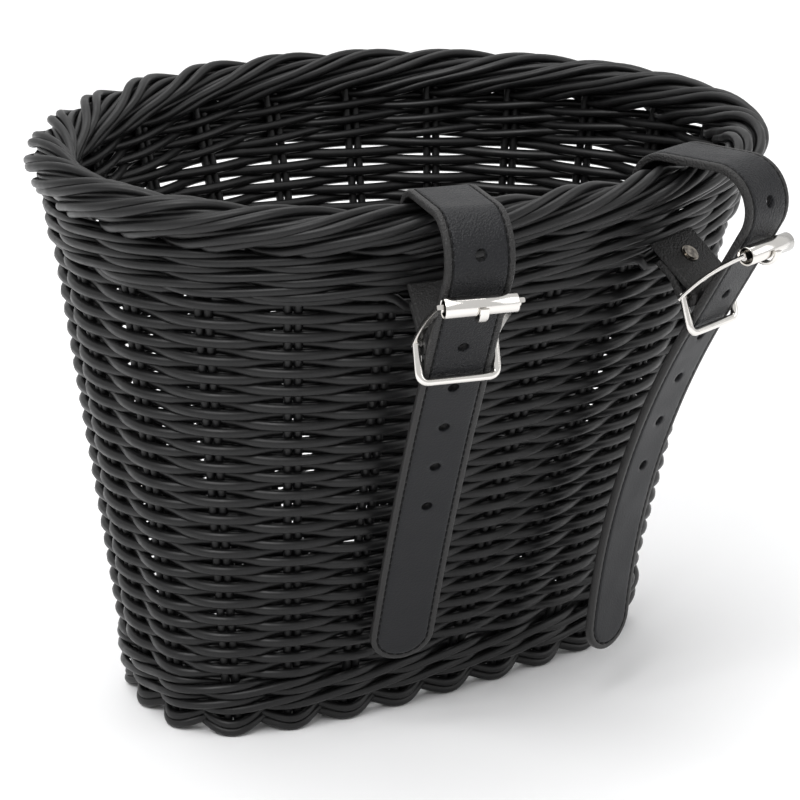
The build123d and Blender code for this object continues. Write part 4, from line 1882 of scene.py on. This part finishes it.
class Studio:
    """A pale floor, soft lights and the camera."""

    CAMERA_PLACE = (-0.5337, -0.7971, 0.4208)
    CAMERA_PITCH = 18.70
    CAMERA_YAW = 33.63
    LENS = 137.6
    TARGET = Vector((0.0, 0.0, 0.1))
    LIGHTS = (
        SoftLight("key", (-1.2, -0.5, 1.7), 1.2, 26.0),
        SoftLight("fill", (1.3, -1.2, 1.0), 1.4, 7.0),
        SoftLight("top", (0.2, 0.6, 2.0), 1.6, 18.0),
    )

    def floor(self) -> None:
        """A wide white floor."""
        half = 4.0
        mesh = bpy.data.meshes.new("floor")
        corners = [(-half, -half, 0), (half, -half, 0), (half, half, 0), (-half, half, 0)]
        mesh.from_pydata(corners, [], [(0, 1, 2, 3)])
        finish = Finish("white_floor", Surface(colour=(0.93, 0.93, 0.935), roughness=0.6, specular=0.25))
        finish.vary_roughness(finish.noise(6.0), 0.04)
        mesh.materials.append(finish.material)
        add_object("floor", mesh)

    def lights(self) -> None:
        """The soft lamps and an even white surround."""
        for light in self.LIGHTS:
            lamp = bpy.data.lights.new(light.name, "AREA")
            lamp.size = light.width
            lamp.energy = light.power
            made = bpy.data.objects.new(light.name, lamp)
            made.location = light.place
            made.rotation_euler = (self.TARGET - made.location).to_track_quat("-Z", "Y").to_euler()
            bpy.context.scene.collection.objects.link(made)
        world = bpy.data.worlds.new("surround")
        world.use_nodes = True
        world.node_tree.nodes["Background"].inputs["Color"].default_value = (1.0, 1.0, 1.0, 1.0)
        world.node_tree.nodes["Background"].inputs["Strength"].default_value = 0.75
        bpy.context.scene.world = world
        bpy.context.scene.view_settings.view_transform = "Standard"

    def camera(self) -> None:
        """The camera at the basket's left, a little above it."""
        data = bpy.data.cameras.new("camera")
        data.lens = self.LENS
        data.sensor_width = 36.0
        data.clip_start, data.clip_end = 0.05, 50.0
        made = bpy.data.objects.new("camera", data)
        made.location = self.CAMERA_PLACE
        made.rotation_euler = Euler((radians(90 - self.CAMERA_PITCH), 0.0, radians(-self.CAMERA_YAW)))
        bpy.context.scene.collection.objects.link(made)
        bpy.context.scene.camera = made

    def build(self) -> None:
        """Set the whole studio."""
        self.floor()
        self.lights()
        self.camera()


def main() -> None:
    """Weave, sew and light the basket."""
    logging.basicConfig(level=logging.INFO, format="%(name)s: %(message)s")
    Studio().build()
    wall = Wall()
    WovenBody(wall, wicker_finish(), WeaveSize()).build()
    leather, thread = leather_finish(), thread_finish()
    nickel, dark = nickel_finish(), brass_finish()
    stitches = StitchTree("stitches_on_seam")
    for side in Side:
        strap = Strap(side, wall, StrapSize())
        word = side.word
        strap.dress(strap.build(leather), "leather", f"{word}_strap_loop", f"{word}_strap_tail")
        strap.dress(stitches.sew(strap, thread), "thread", f"{word}_loop_stitching", f"{word}_tail_stitching")
        Buckle(strap, BuckleSize()).build(nickel)
        coat((f"{word}_rivet", f"{word}_rivet_cap"), dark)
    wall.remove_guides()
    LOG.info("sizes written")


if __name__ == "__main__":
    main()
